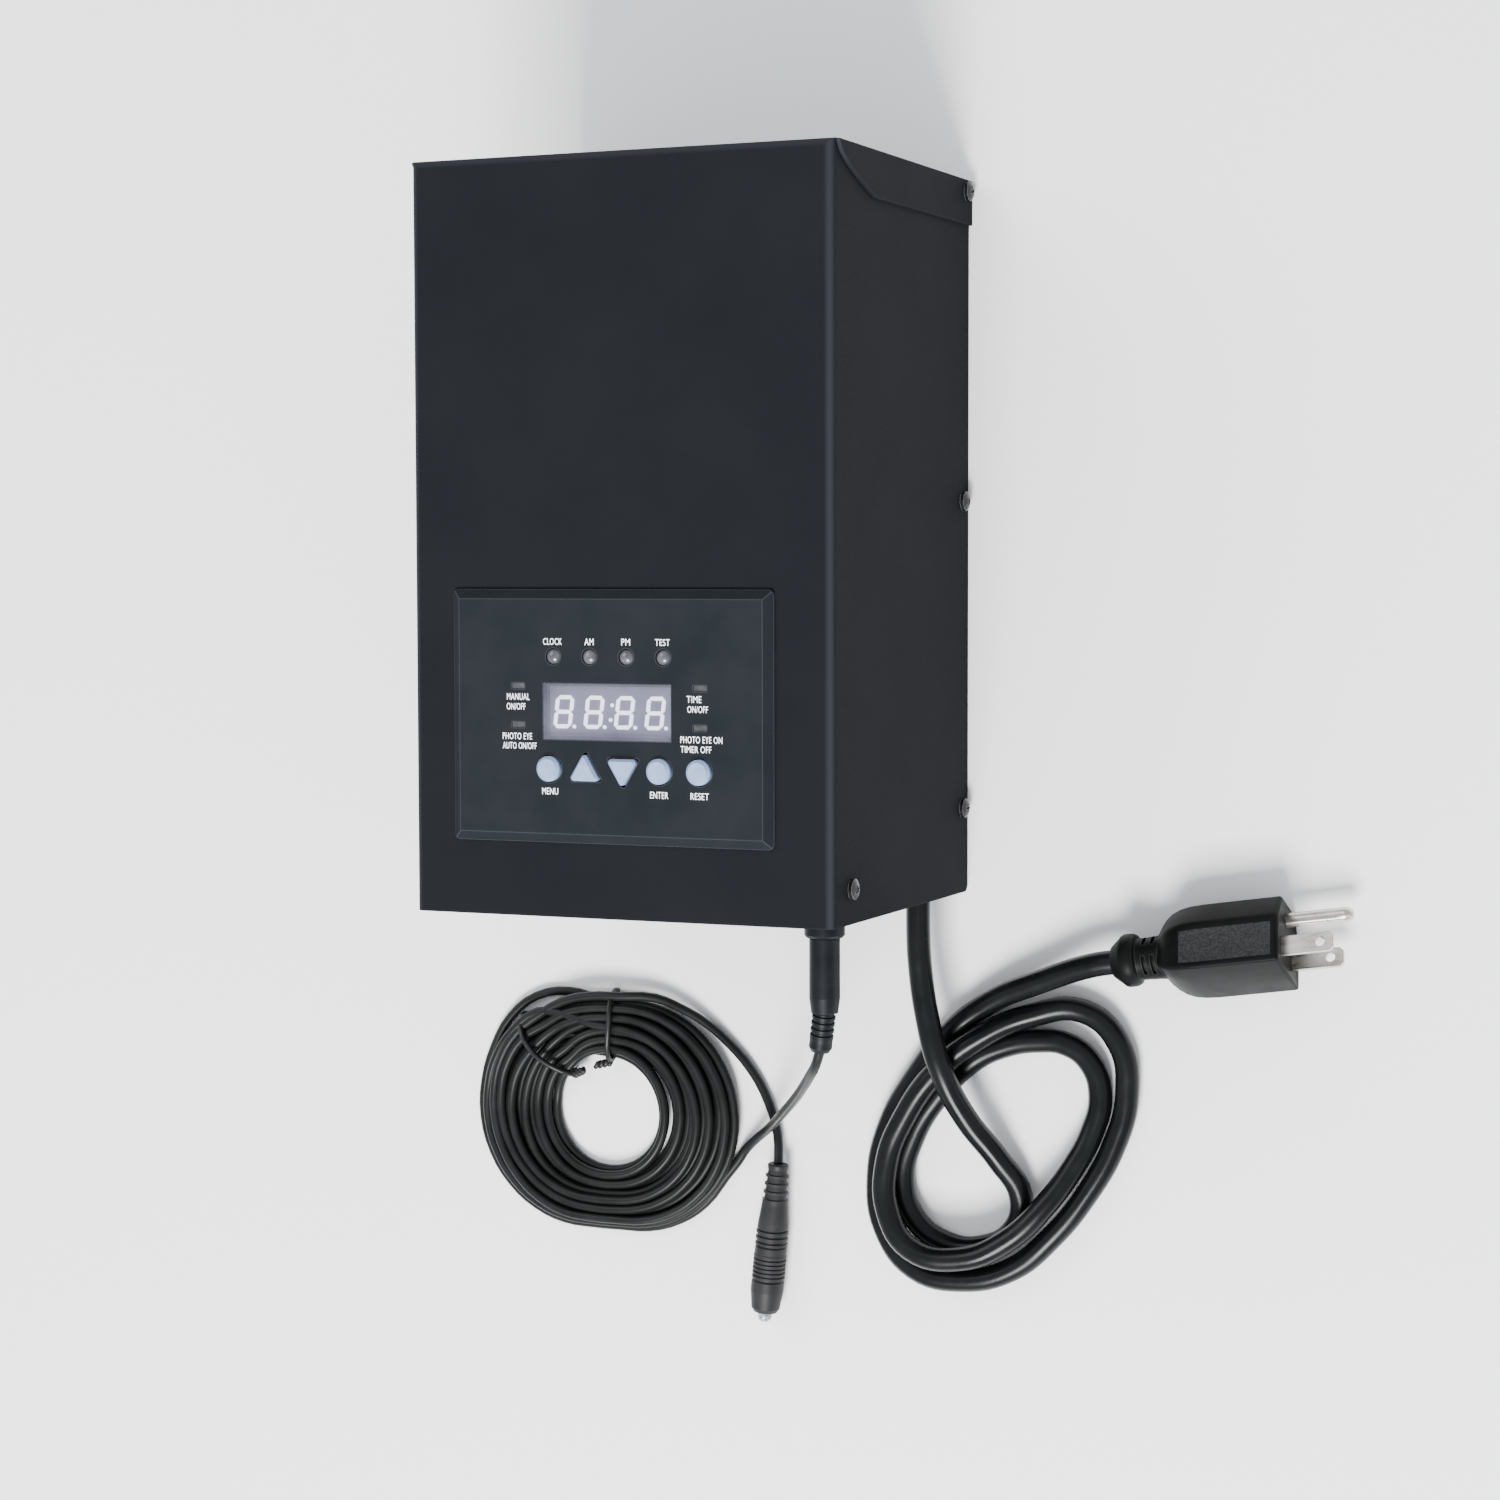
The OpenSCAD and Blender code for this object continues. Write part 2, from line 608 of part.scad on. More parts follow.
module sensor_jack() {
    color([0.1, 0.1, 0.11]) translate([jack_x, floor_y, jack_z]) rotate([90, 0, 0])
        rotate_extrude() polygon([[2.75 + fit, -9], [2.75 + fit, 7.4], [3.3, 8], [5.7, 8], [6.4, 7.2],
            [6.4, 0], [5.2, 0], [5.2, -16], [0, -16], [0, -9]]);
}

module jack_nut() {
    color([0.7, 0.7, 0.7]) translate([jack_x, floor_y + sheet, jack_z]) rotate([-90, 0, 0]) difference() {
        cylinder(r = 7.6, h = 2.4, $fn = 6);
        translate([0, 0, -1]) cylinder(r = 5.25, h = 5);
    }
}

// ---------- wiring inside the box ----------

module live_wire() {
    color([0.1, 0.1, 0.1]) tube([[60, -93.6, 21], [55, -90, 24], [40, -92, 26], [10, -96, 24],
        [-18, -99, 18], [-26.5, -95.5, 15.8], [-26.5, -88, 15.8]], 2.4, 8);
}

module neutral_wire() {
    color([0.9, 0.9, 0.9]) tube([[62, -93.6, 23], [57, -87.5, 28], [40, -88, 31], [8, -93, 30],
        [-26, -100, 21], [-35.5, -96, 15.8], [-35.5, -88, 15.8]], 2.4, 8);
}

module earth_wire() {
    color([0.2, 0.6, 0.25]) tube([[64, -93.6, 17], [62, -85, 18], [57.5, -89, 10], [56, -96, 5],
        [40, -99.5, 3], [-20, -101, 3], [-44, -102, 3], [-51.6, -102, 3.2]], 2.4, 8);
}

module ribbon_cable() {
    color([0.6, 0.6, 0.62]) translate([30, -46, 0]) multmatrix([[0, 0, 1, 0], [1, 0, 0, 0], [0, 1, 0, 0]])
        linear_extrude(14) polygon([[0, 11], [1, 11], [1, 40], [14, 60], [14, 90], [1, 104], [1, 112.2],
            [0, 112.2], [0, 103.6], [13, 89.6], [13, 60.4], [0, 40.4]]);
}

// ---------- mains lead and plug ----------

module mains_lead() {
    color([0.06, 0.06, 0.06]) tube(mains_route, mains_d, 10);
}

// places plug parts: drawn along +Z, the blades' flats facing X, the earth pin towards +Y
module at_plug() {
    translate(plug_at) rotate([0, 0, plug_turn]) rotate([90, 0, 90]) rotate(-90 - plug_roll) children();
}

module plug_profile() {
    polygon([[-13, -11], [13, -11], [13, 5], [7.8, 14], [-7.8, 14], [-13, 5]]);
}

module mains_plug() {
    grip = 15;
    body_l = 41;
    color([0.07, 0.07, 0.07]) at_plug() difference() {
        union() {
            rotate_extrude() polygon([[0, -3], [0, grip + 2], [7.4, grip + 2], [6.6, 6.5], [8.6, 5.2],
                [8.8, 1.2], [7.6, 0], [5.2, -3]]);
            intersection() {
                translate([0, 0, grip]) linear_extrude(body_l) plug_profile();
                translate([0, 0, grip]) rotate_extrude() polygon([[0, 0], [8.2, 0], [12.4, 2.6], [15, 5.8],
                    [16.8, 10], [18, 15], [18, body_l - 1.2], [17, body_l], [0, body_l]]);
            }
        }
        translate([0, 0, -3.5]) cylinder(r = mains_d / 2 + 0.02, h = 4);
        for (a = [0:90:270], z = [8.2, 11.4]) rotate(a + 20) translate([6, -2.4, z]) cube([4, 4.8, 1.5]);
        for (x = [-6.35, 6.35]) translate([x - 0.75, -6.7, grip + body_l - 8]) cube([1.5, 6.4, 9]);
        translate([0, 8.4, grip + body_l - 8]) cylinder(r = 2.4, h = 9);
    }
}

module plug_blades() {
    color([0.85, 0.85, 0.83]) at_plug() for (x = [-6.35, 6.35]) difference() {
        translate([x - 0.75, -6.7, 48]) cube([1.5, 6.4, 24.5]);
        translate([x - 2, -3.5, 68.2]) rotate([0, 90, 0]) cylinder(r = 1.6, h = 4);
        for (s = [0, 1]) translate([x, -3.5, 72.5]) mirror([0, s, 0]) translate([0, 3.2, 0])
            rotate([45, 0, 0]) cube([4, 1.8, 1.8], center = true);
    }
}

module plug_earth_pin() {
    color([0.85, 0.85, 0.83]) at_plug() translate([0, 8.4, 48]) rotate_extrude()
        polygon([[0, 0], [2.4, 0], [2.4, 27], [1.9, 28.6], [1.1, 29.4], [0, 29.6]]);
}

// ---------- light sensor and its lead ----------

module sensor_plug() {
    color([0.1, 0.11, 0.12]) translate([jack_x, floor_y - 8, jack_z]) rotate([90, 0, 0]) {
        rotate_extrude() polygon([[0, -9.5], [2.3, -9.5], [2.75, -9], [2.75, 0], [4.6, 0], [4.85, 0.4],
            [4.85, 19], [4.2, 23.8], [0, 23.8]]);
        translate([0, 0, 22.6]) rotate([relief_lean[1], relief_lean[0], 0]) rotate_extrude()
            polygon(concat([[0, 0], [3.7, 0]],
                [for (i = [0:3], e = [[3.1, 1.3], [3.1, 1.9], [3.75, 2.1], [3.75, 3]]) [e[0], e[1] + 2.1 * i]],
                [[3.6, 10.6], [3.7, 12.6], [3, 13.9], [0, 13.9]]));
    }
}

module sensor_lead() {
    color([0.1, 0.1, 0.1]) tube(lead_route, lead_d, 8);
}

module sensor_tail() {
    color([0.1, 0.1, 0.1]) tube(tail_route, lead_d, 8);
}

// section of the turns, piled three deep
coil_section = [[0, 0], [coil_r - 1.2, 0], [coil_r, 1.4], [coil_r - 1.2, 4.2], [coil_r - 8, coil_top],
    [0, coil_top]];

// outline of the tied coil: a ring pulled out sideways
module sensor_coil() {
    color([0.1, 0.1, 0.1]) translate([coil_mid[0], coil_mid[1], 0]) difference() {
        union() {
            for (s = [-1, 1]) translate([s * coil_shift, 0, 0]) rotate_extrude() polygon(coil_section);
            for (s = [0, 1]) mirror([0, s, 0]) multmatrix([[0, 0, 1, -coil_shift], [1, 0, 0, 0], [0, 1, 0, 0]])
                linear_extrude(2 * coil_shift) polygon(coil_section);
        }
        translate([0, 0, -1]) cylinder(r = coil_hole, h = coil_top + 2);
    }
}

// two wire ties round the turns
module coil_ties() {
    color([0.08, 0.08, 0.08]) translate([coil_mid[0], coil_mid[1], 0]) {
        coil_band(86, coil_hole, 43.3);
        coil_band(130, coil_hole, 48.9);
    }
}

// closed band with a square section round the turns, at an angle round the coil
module coil_band(turn, inner, outer) {
    rotate(turn) translate([0, 0.6, 0]) rotate([90, 0, 0]) linear_extrude(1.2) difference() {
        polygon([[inner - 1.4, 0], [outer + 1.4, 0], [outer + 1.4, 4.6], [outer - 6.6, coil_top + 1.2],
            [inner - 1.4, coil_top + 1.2]]);
        polygon([[inner, -1], [outer, -1], [outer, 4], [outer - 7.2, coil_top], [inner, coil_top]]);
    }
}

// the sensor lies on the surface, its clear end away from the box
module at_sensor() {
    translate(sensor_at) rotate([0, 0, sensor_turn]) rotate([90, 0, 0]) children();
}

module sensor_body() {
    r = sensor_d / 2;
    neck = [for (i = [0:3], e = [[3.3, 0], [3.5, 1.6], [4.1, 1.9], [4.1, 2.6]])
        [e[0] + 0.16 * i, 2 + e[1] + 2.9 * i]];
    rings = [for (i = [0:2], e = [[0.86, 0], [0.98, 0.3], [0.98, 1.1], [0.86, 1.4]])
        [r * e[0], 23.6 + e[1] + 2.1 * i]];
    grooves = [for (i = [0:5], e = [[1, 0], [1, 0.8], [0.9, 1], [0.9, 1.35]])
        [r * e[0], 32.6 + e[1] + 1.5 * i]];
    color([0.28, 0.28, 0.28]) at_sensor() difference() {
        rotate_extrude() polygon(concat([[0, 0], [3.3, 0], [3.7, 0.5], [3.5, 1.9]], neck,
            [[4.6, 14.4], [r - 0.5, 21], [r - 0.4, 23]], rings, [[r * 0.96, 29.8], [r * 0.97, 32]],
            grooves, [[r, 42], [r, 45.5], [r - 0.8, 51.6], [r - 1.7, 53], [0, 53]]));
        translate([0, 0, 46]) cylinder(r = 2.6, h = 10);
    }
}

module sensor_lens() {
    color([0.85, 0.88, 0.9, 0.6]) at_sensor() rotate_extrude() {
        translate([0, 46.5]) square([2.5, 7.9]);
        intersection() {
            translate([0, 54.3]) square([2.5, 4]);
            translate([0, 54.4]) circle(r = 2.5);
        }
    }
}

front_cover();
back_chassis();
cover_screws();
panel_bezel();
panel_clamp();
clamp_screws();
display_window();
display_module();
display_figures();
status_lamps();
mode_lamps();
menu_button();
up_button();
down_button();
enter_button();
reset_button();
control_board();
tact_switches();
control_screws();
power_board();
power_posts();
power_screws();
relay();
fuse();
fuse_clips();
filter_capacitor();
terminal_block();
transformer_pad();
transformer();
transformer_plate();
transformer_stud();
transformer_nut();
earth_stud();
earth_lug();
outlet_bush();
sensor_jack();
jack_nut();
mains_bush();
live_wire();
neutral_wire();
earth_wire();
ribbon_cable();
mains_lead();
mains_plug();
plug_blades();
plug_earth_pin();
sensor_plug();
sensor_lead();
sensor_coil();
coil_ties();
sensor_tail();
sensor_body();
sensor_lens();
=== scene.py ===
import math

import bmesh
import bpy
from mathutils import Euler, Matrix, Vector


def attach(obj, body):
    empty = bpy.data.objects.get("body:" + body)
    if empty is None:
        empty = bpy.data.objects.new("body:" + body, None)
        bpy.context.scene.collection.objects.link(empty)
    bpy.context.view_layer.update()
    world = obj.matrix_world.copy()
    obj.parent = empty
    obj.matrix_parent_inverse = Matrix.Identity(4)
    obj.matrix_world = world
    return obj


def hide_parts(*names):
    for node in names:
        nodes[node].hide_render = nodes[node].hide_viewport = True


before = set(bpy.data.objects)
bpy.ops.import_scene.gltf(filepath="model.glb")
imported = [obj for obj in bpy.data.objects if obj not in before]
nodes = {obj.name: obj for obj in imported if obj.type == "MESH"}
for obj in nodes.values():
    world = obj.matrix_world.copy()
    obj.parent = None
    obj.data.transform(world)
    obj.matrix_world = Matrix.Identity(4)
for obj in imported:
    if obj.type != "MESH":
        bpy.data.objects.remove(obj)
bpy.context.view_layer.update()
mm = 0.001

# the camera stands in front of the box and to its right
cameraSetup = {
    "place": (0.4285, -0.0074, 1.0125),
    "turnDeg": (-3.487, 23.325, -0.129),
    "lens": 75.63,
    "sensorWidth": 36,
    "nearest": 0.05,
    "farthest": 20,
}


def makeCamera(setup):
    data = bpy.data.cameras.new("mainCamera")
    data.lens = setup["lens"]
    data.sensor_width = setup["sensorWidth"]
    data.clip_start = setup["nearest"]
    data.clip_end = setup["farthest"]
    camera = bpy.data.objects.new("mainCamera", data)
    camera.location = setup["place"]
    camera.rotation_euler = Euler([math.radians(a) for a in setup["turnDeg"]], "XYZ")
    bpy.context.scene.collection.objects.link(camera)
    bpy.context.scene.camera = camera


makeCamera(cameraSetup)
print("camera placed")


# finishes: a starter that gives a plain material, then the usual detail nodes
def newFinish(name, colour, roughness, **sockets):
    material = bpy.data.materials.new(name)
    material.use_nodes = True
    shader = material.node_tree.nodes["Principled BSDF"]
    shader.inputs["Base Color"].default_value = (*colour, 1)
    shader.inputs["Roughness"].default_value = roughness
    for socket, value in sockets.items():
        shader.inputs[socket.replace("_", " ")].default_value = value
    material.diffuse_color = (*colour, 1)
    return material


def addNode(material, kind, **values):
    node = material.node_tree.nodes.new(kind)
    for key, value in values.items():
        setattr(node, key, value)
    return node


def wire(material, source, target):
    material.node_tree.links.new(source, target)


def noiseOf(material, scale, detail, rough, stretch):
    place = addNode(material, "ShaderNodeTexCoord").outputs["Object"]
    if stretch:
        mapping = addNode(material, "ShaderNodeMapping")
        mapping.inputs["Scale"].default_value = stretch
        wire(material, place, mapping.inputs["Vector"])
        place = mapping.outputs["Vector"]
    noise = addNode(material, "ShaderNodeTexNoise")
    noise.inputs["Scale"].default_value = scale
    noise.inputs["Detail"].default_value = detail
    noise.inputs["Roughness"].default_value = rough
    wire(material, place, noise.inputs["Vector"])
    return noise.outputs["Fac"]


def spread(material, value, low, high, fromLow=0.3, fromHigh=0.7):
    ranger = addNode(material, "ShaderNodeMapRange")
    ranger.inputs["From Min"].default_value = fromLow
    ranger.inputs["From Max"].default_value = fromHigh
    ranger.inputs["To Min"].default_value = low
    ranger.inputs["To Max"].default_value = high
    wire(material, value, ranger.inputs["Value"])
    return ranger.outputs["Result"]


def mixColours(material, factor, one, two):
    mixer = addNode(material, "ShaderNodeMix", data_type="RGBA")
    wire(material, factor, mixer.inputs["Factor"])
    for socket, colour in ((mixer.inputs[6], one), (mixer.inputs[7], two)):
        if isinstance(colour, tuple):
            socket.default_value = (*colour, 1)
        else:
            wire(material, colour, socket)
    return mixer.outputs[2]


def shaderOf(material):
    return material.node_tree.nodes["Principled BSDF"]


def addBump(material, value, height, strength):
    bump = addNode(material, "ShaderNodeBump")
    bump.inputs["Strength"].default_value = strength
    bump.inputs["Distance"].default_value = height
    wire(material, value, bump.inputs["Height"])
    wire(material, bump.outputs["Normal"], shaderOf(material).inputs["Normal"])


# mottled colour, uneven gloss and a fine raised grain, each with its own size
def dress(material, colour, other, mottleScale, gloss, grainScale, grainHeight, grainStrength=0.6,
          stretch=None):
    mottle = noiseOf(material, mottleScale, 4.0, 0.55, stretch)
    wire(material, mixColours(material, spread(material, mottle, 0, 1), colour, other),
         shaderOf(material).inputs["Base Color"])
    wire(material, spread(material, mottle, gloss[0], gloss[1]), shaderOf(material).inputs["Roughness"])
    addBump(material, noiseOf(material, grainScale, 2.0, 0.6, stretch), grainHeight, grainStrength)


# a second colour along the edges, found where a rounded normal leaves the flat one; a lighter edge colour is
# a painted highlight and sheen on the edges
def addEdgeWearAndHighlight(material, radius, colour, amount, bluntest=0.82):
    bevel = addNode(material, "ShaderNodeBevel", samples=6)
    bevel.inputs["Radius"].default_value = radius
    flat = addNode(material, "ShaderNodeNewGeometry")
    dot = addNode(material, "ShaderNodeVectorMath", operation="DOT_PRODUCT")
    wire(material, bevel.outputs["Normal"], dot.inputs[0])
    wire(material, flat.outputs["Normal"], dot.inputs[1])
    edge = spread(material, dot.outputs["Value"], amount, 0.0, bluntest, 0.998)
    base = shaderOf(material).inputs["Base Color"]
    before = base.links[0].from_socket
    wire(material, mixColours(material, edge, before, colour), base)


# painted highlight round the bends of folded sheet, where the normal leaves all three axes
def addBendHighlight(material, colour, amount):
    axes = addNode(material, "ShaderNodeSeparateXYZ")
    wire(material, addNode(material, "ShaderNodeTexCoord").outputs["Normal"], axes.inputs[0])
    total = None
    for axis in axes.outputs:
        power = addNode(material, "ShaderNodeMath", operation="POWER")
        wire(material, axis, power.inputs[0])
        power.inputs[1].default_value = 4
        if total:
            adder = addNode(material, "ShaderNodeMath", operation="ADD")
            wire(material, total, adder.inputs[0])
            wire(material, power.outputs[0], adder.inputs[1])
            power = adder
        total = power.outputs[0]
    bendHighlight = spread(material, total, amount, 0.0, 0.5, 0.98)
    base = shaderOf(material).inputs["Base Color"]
    before = base.links[0].from_socket
    wire(material, mixColours(material, bendHighlight, before, colour), base)


powderCoat = newFinish("powderCoat", (0.0092, 0.0101, 0.0122), 0.58, Specular_IOR_Level=0.012)
dress(powderCoat, (0.0086, 0.0095, 0.0115), (0.0102, 0.0112, 0.0134), 26, (0.54, 0.62), 1500, 0.00006, 1.0)
# a painted sheen along the cover's edges
addEdgeWearAndHighlight(powderCoat, 0.0010, (0.0200, 0.0225, 0.0280), 0.6, 0.86)
# a painted highlight round the cover's rounded bends
addBendHighlight(powderCoat, (0.0260, 0.0285, 0.0350), 0.9)

chassisCoat = newFinish("chassisCoat", (0.0072, 0.0074, 0.0078), 0.6, Specular_IOR_Level=0.02)
dress(chassisCoat, (0.0064, 0.0066, 0.0070), (0.0086, 0.0088, 0.0092), 24, (0.55, 0.63), 1500, 0.00005, 0.8)
# a painted sheen along the chassis edges
addEdgeWearAndHighlight(chassisCoat, 0.0010, (0.018, 0.018, 0.020), 0.5)

bezelMoulding = newFinish("bezelMoulding", (0.0110, 0.0132, 0.0156), 0.45, Specular_IOR_Level=0.05)
dress(bezelMoulding, (0.0098, 0.0120, 0.0142), (0.0126, 0.0150, 0.0176), 60, (0.42, 0.50), 2600,
      0.000012, 0.5)
# a painted highlight along the bezel's rims
addEdgeWearAndHighlight(bezelMoulding, 0.0005, (0.050, 0.058, 0.066), 0.8, 0.955)

filterLens = newFinish("filterLens", (0.16, 0.16, 0.22), 0.24, Alpha=0.34)
dress(filterLens, (0.13, 0.13, 0.19), (0.20, 0.20, 0.27), 90, (0.20, 0.30), 900, 0.00001, 0.3)

displayCase = newFinish("displayCase", (0.20, 0.20, 0.28), 0.5)
dress(displayCase, (0.17, 0.17, 0.25), (0.23, 0.23, 0.31), 200, (0.45, 0.55), 2500, 0.00001)

# the figures glow: painted light standing in for the light that reaches them behind the window
figurePaintedGlow = newFinish("figurePaintedGlow", (0.9, 0.92, 1.0), 0.4, Emission_Color=(0.93, 0.95, 1.0, 1),
                      Emission_Strength=4.0)
dress(figurePaintedGlow, (0.85, 0.88, 1.0), (0.95, 0.96, 1.0), 500, (0.3, 0.5), 3000, 0.00001)

lampDome = newFinish("lampDome", (0.055, 0.055, 0.065), 0.18, Coat_Weight=0.3, Coat_Roughness=0.1)
dress(lampDome, (0.035, 0.035, 0.042), (0.085, 0.085, 0.100), 420, (0.14, 0.3), 1200, 0.00003, 0.4)

barLens = newFinish("barLens", (0.03, 0.03, 0.034), 0.35)
dress(barLens, (0.022, 0.022, 0.025), (0.05, 0.05, 0.055), 500, (0.3, 0.45), 2000, 0.00002)

keyMoulding = newFinish("keyMoulding", (0.23, 0.31, 0.48), 0.38, Subsurface_Weight=0.05)
shaderOf(keyMoulding).inputs["Subsurface Radius"].default_value = (0.0008, 0.0008, 0.001)
dress(keyMoulding, (0.20, 0.28, 0.45), (0.26, 0.34, 0.52), 240, (0.34, 0.44), 3200, 0.000012, 0.5)

blackScrew = newFinish("blackScrew", (0.006, 0.006, 0.007), 0.24, Specular_IOR_Level=0.25)
dress(blackScrew, (0.004, 0.004, 0.005), (0.012, 0.012, 0.013), 600, (0.18, 0.32), 2500, 0.00002)
# painted glints on the edges of the screw heads
addEdgeWearAndHighlight(blackScrew, 0.0003, (0.30, 0.30, 0.31), 0.7, 0.78)

zincSteel = newFinish("zincSteel", (0.55, 0.55, 0.53), 0.35, Metallic=1.0)
dress(zincSteel, (0.48, 0.48, 0.46), (0.62, 0.62, 0.60), 250, (0.28, 0.45), 1500, 0.00001)

brightNickel = newFinish("brightNickel", (0.58, 0.56, 0.50), 0.3, Metallic=1.0)
dress(brightNickel, (0.48, 0.46, 0.41), (0.70, 0.68, 0.62), 160, (0.24, 0.36), 900, 0.00001, 0.4, (1, 1, 6))
addEdgeWearAndHighlight(brightNickel, 0.0005, (0.10, 0.09, 0.08), 0.9)

cableSheath = newFinish("cableSheath", (0.003, 0.0038, 0.0038), 0.24, Specular_IOR_Level=0.17)
dress(cableSheath, (0.0024, 0.0031, 0.0031), (0.0050, 0.0060, 0.0060), 70, (0.20, 0.34), 260, 0.00006, 0.3)

thinSheath = newFinish("thinSheath", (0.008, 0.0083, 0.0083), 0.34, Specular_IOR_Level=0.13)
dress(thinSheath, (0.0064, 0.0067, 0.0067), (0.0110, 0.0114, 0.0114), 90, (0.32, 0.44), 600, 0.00004, 0.3)

plugMoulding = newFinish("plugMoulding", (0.0028, 0.0030, 0.0030), 0.42, Specular_IOR_Level=0.07)
dress(plugMoulding, (0.0022, 0.0024, 0.0025), (0.0044, 0.0046, 0.0046), 110, (0.38, 0.5), 1500, 0.00003, 0.5)
# a painted highlight along the plug's edges
addEdgeWearAndHighlight(plugMoulding, 0.0009, (0.022, 0.023, 0.023), 0.8, 0.86)

plugGrain = newFinish("plugGrain", (0.016, 0.017, 0.017), 0.5, Specular_IOR_Level=0.15)
dress(plugGrain, (0.0080, 0.0085, 0.0085), (0.034, 0.036, 0.036), 1300, (0.4, 0.6), 1500, 0.00022, 1.0)

jackMoulding = newFinish("jackMoulding", (0.0040, 0.0050, 0.0066), 0.42, Specular_IOR_Level=0.12)
dress(jackMoulding, (0.0036, 0.0045, 0.0062), (0.0065, 0.0078, 0.0100), 140, (0.36, 0.48), 1900, 0.00003, 0.5)
# a painted highlight along the jack's edges
addEdgeWearAndHighlight(jackMoulding, 0.0005, (0.032, 0.034, 0.038), 0.4)

bushRubber = newFinish("bushRubber", (0.006, 0.006, 0.006), 0.6, Specular_IOR_Level=0.12)
dress(bushRubber, (0.005, 0.005, 0.005), (0.010, 0.010, 0.010), 140, (0.5, 0.7), 1500, 0.00004)

sensorMoulding = newFinish("sensorMoulding", (0.016, 0.016, 0.0165), 0.5, Specular_IOR_Level=0.16)
dress(sensorMoulding, (0.0135, 0.0135, 0.0140), (0.0205, 0.0205, 0.0210), 160, (0.44, 0.58), 2100,
      0.00004, 0.6)
# a painted highlight along the sensor's edges and ribs
addEdgeWearAndHighlight(sensorMoulding, 0.0005, (0.045, 0.045, 0.046), 0.5)

clearDome = newFinish("clearDome", (0.24, 0.25, 0.26), 0.1, Alpha=0.92, Coat_Weight=0.6)
# the lens is mottled from dark to bright: painted highlights for the glints of its facets
dress(clearDome, (0.06, 0.06, 0.07), (0.50, 0.52, 0.54), 900, (0.05, 0.16), 900, 0.0002, 0.7)

tieSheath = newFinish("tieSheath", (0.007, 0.007, 0.0075), 0.4, Specular_IOR_Level=0.3)
dress(tieSheath, (0.0055, 0.0055, 0.0060), (0.0100, 0.0100, 0.0105), 200, (0.32, 0.48), 900, 0.00005)

# white print that also glows: the glow is painted light
printWithPaintedGlow = newFinish("printWithPaintedGlow", (0.85, 0.86, 0.88), 0.55, Emission_Color=(0.9, 0.92, 0.95, 1),
                         Emission_Strength=0.9)
dress(printWithPaintedGlow, (0.78, 0.79, 0.82), (0.90, 0.91, 0.93), 900, (0.5, 0.6), 2500, 0.00001)

boardMask = newFinish("boardMask", (0.02, 0.16, 0.06), 0.35)
dress(boardMask, (0.012, 0.11, 0.04), (0.03, 0.20, 0.08), 320, (0.28, 0.4), 700, 0.00004, 0.6)

relayCase = newFinish("relayCase", (0.02, 0.06, 0.22), 0.3)
dress(relayCase, (0.018, 0.05, 0.19), (0.03, 0.08, 0.26), 180, (0.26, 0.38), 1800, 0.00002)

switchCase = newFinish("switchCase", (0.02, 0.02, 0.02), 0.45)
dress(switchCase, (0.016, 0.016, 0.016), (0.03, 0.03, 0.03), 300, (0.4, 0.52), 1800, 0.00002)

terminalCase = newFinish("terminalCase", (0.03, 0.20, 0.06), 0.42)
dress(terminalCase, (0.025, 0.17, 0.05), (0.04, 0.24, 0.08), 220, (0.38, 0.48), 1800, 0.00002)

fuseGlass = newFinish("fuseGlass", (0.82, 0.84, 0.82), 0.1, Alpha=0.6)
dress(fuseGlass, (0.75, 0.77, 0.75), (0.86, 0.88, 0.86), 300, (0.06, 0.14), 700, 0.00001)

clipBrass = newFinish("clipBrass", (0.72, 0.55, 0.25), 0.32, Metallic=1.0)
dress(clipBrass, (0.64, 0.48, 0.20), (0.78, 0.60, 0.30), 200, (0.26, 0.4), 1200, 0.00001)

windingTape = newFinish("windingTape", (0.55, 0.36, 0.05), 0.4)
dress(windingTape, (0.48, 0.30, 0.03), (0.66, 0.44, 0.08), 60, (0.3, 0.5), 300, 0.0003, 0.7)

greenWire = newFinish("greenWire", (0.02, 0.22, 0.05), 0.35)
dress(greenWire, (0.015, 0.18, 0.04), (0.03, 0.26, 0.07), 150, (0.3, 0.42), 700, 0.00004)

whiteWire = newFinish("whiteWire", (0.75, 0.75, 0.74), 0.35)
dress(whiteWire, (0.68, 0.68, 0.67), (0.80, 0.80, 0.79), 150, (0.3, 0.42), 700, 0.00004)

ribbonSheath = newFinish("ribbonSheath", (0.30, 0.30, 0.33), 0.45)
dress(ribbonSheath, (0.26, 0.26, 0.29), (0.34, 0.34, 0.37), 40, (0.4, 0.5), 800, 0.0001, 0.8, (1, 12, 1))

clampMoulding = newFinish("clampMoulding", (0.05, 0.05, 0.055), 0.5)
dress(clampMoulding, (0.04, 0.04, 0.045), (0.065, 0.065, 0.07), 150, (0.45, 0.55), 1800, 0.00002)
print("finishes made")


# a share from 0 to 1, eased at both ends
def ease(value):
    value = min(max(value, 0.0), 1.0)
    return value * value * (3 - 2 * value)


# one open spline through the points, with automatic handles, as a round cord
def makeCord(name, points, diameter, steps, sides, material):
    curve = bpy.data.curves.new(name, "CURVE")
    curve.dimensions = "3D"
    curve.resolution_u = steps
    curve.bevel_depth = diameter / 2
    curve.bevel_resolution = sides
    curve.use_fill_caps = True
    spline = curve.splines.new("BEZIER")
    spline.bezier_points.add(len(points) - 1)
    for knot, point in zip(spline.bezier_points, points):
        knot.co = [value * mm for value in point]
        knot.handle_left_type = knot.handle_right_type = "AUTO"
    curve.materials.append(material)
    piece = bpy.data.objects.new(name, curve)
    bpy.context.scene.collection.objects.link(piece)
    return piece


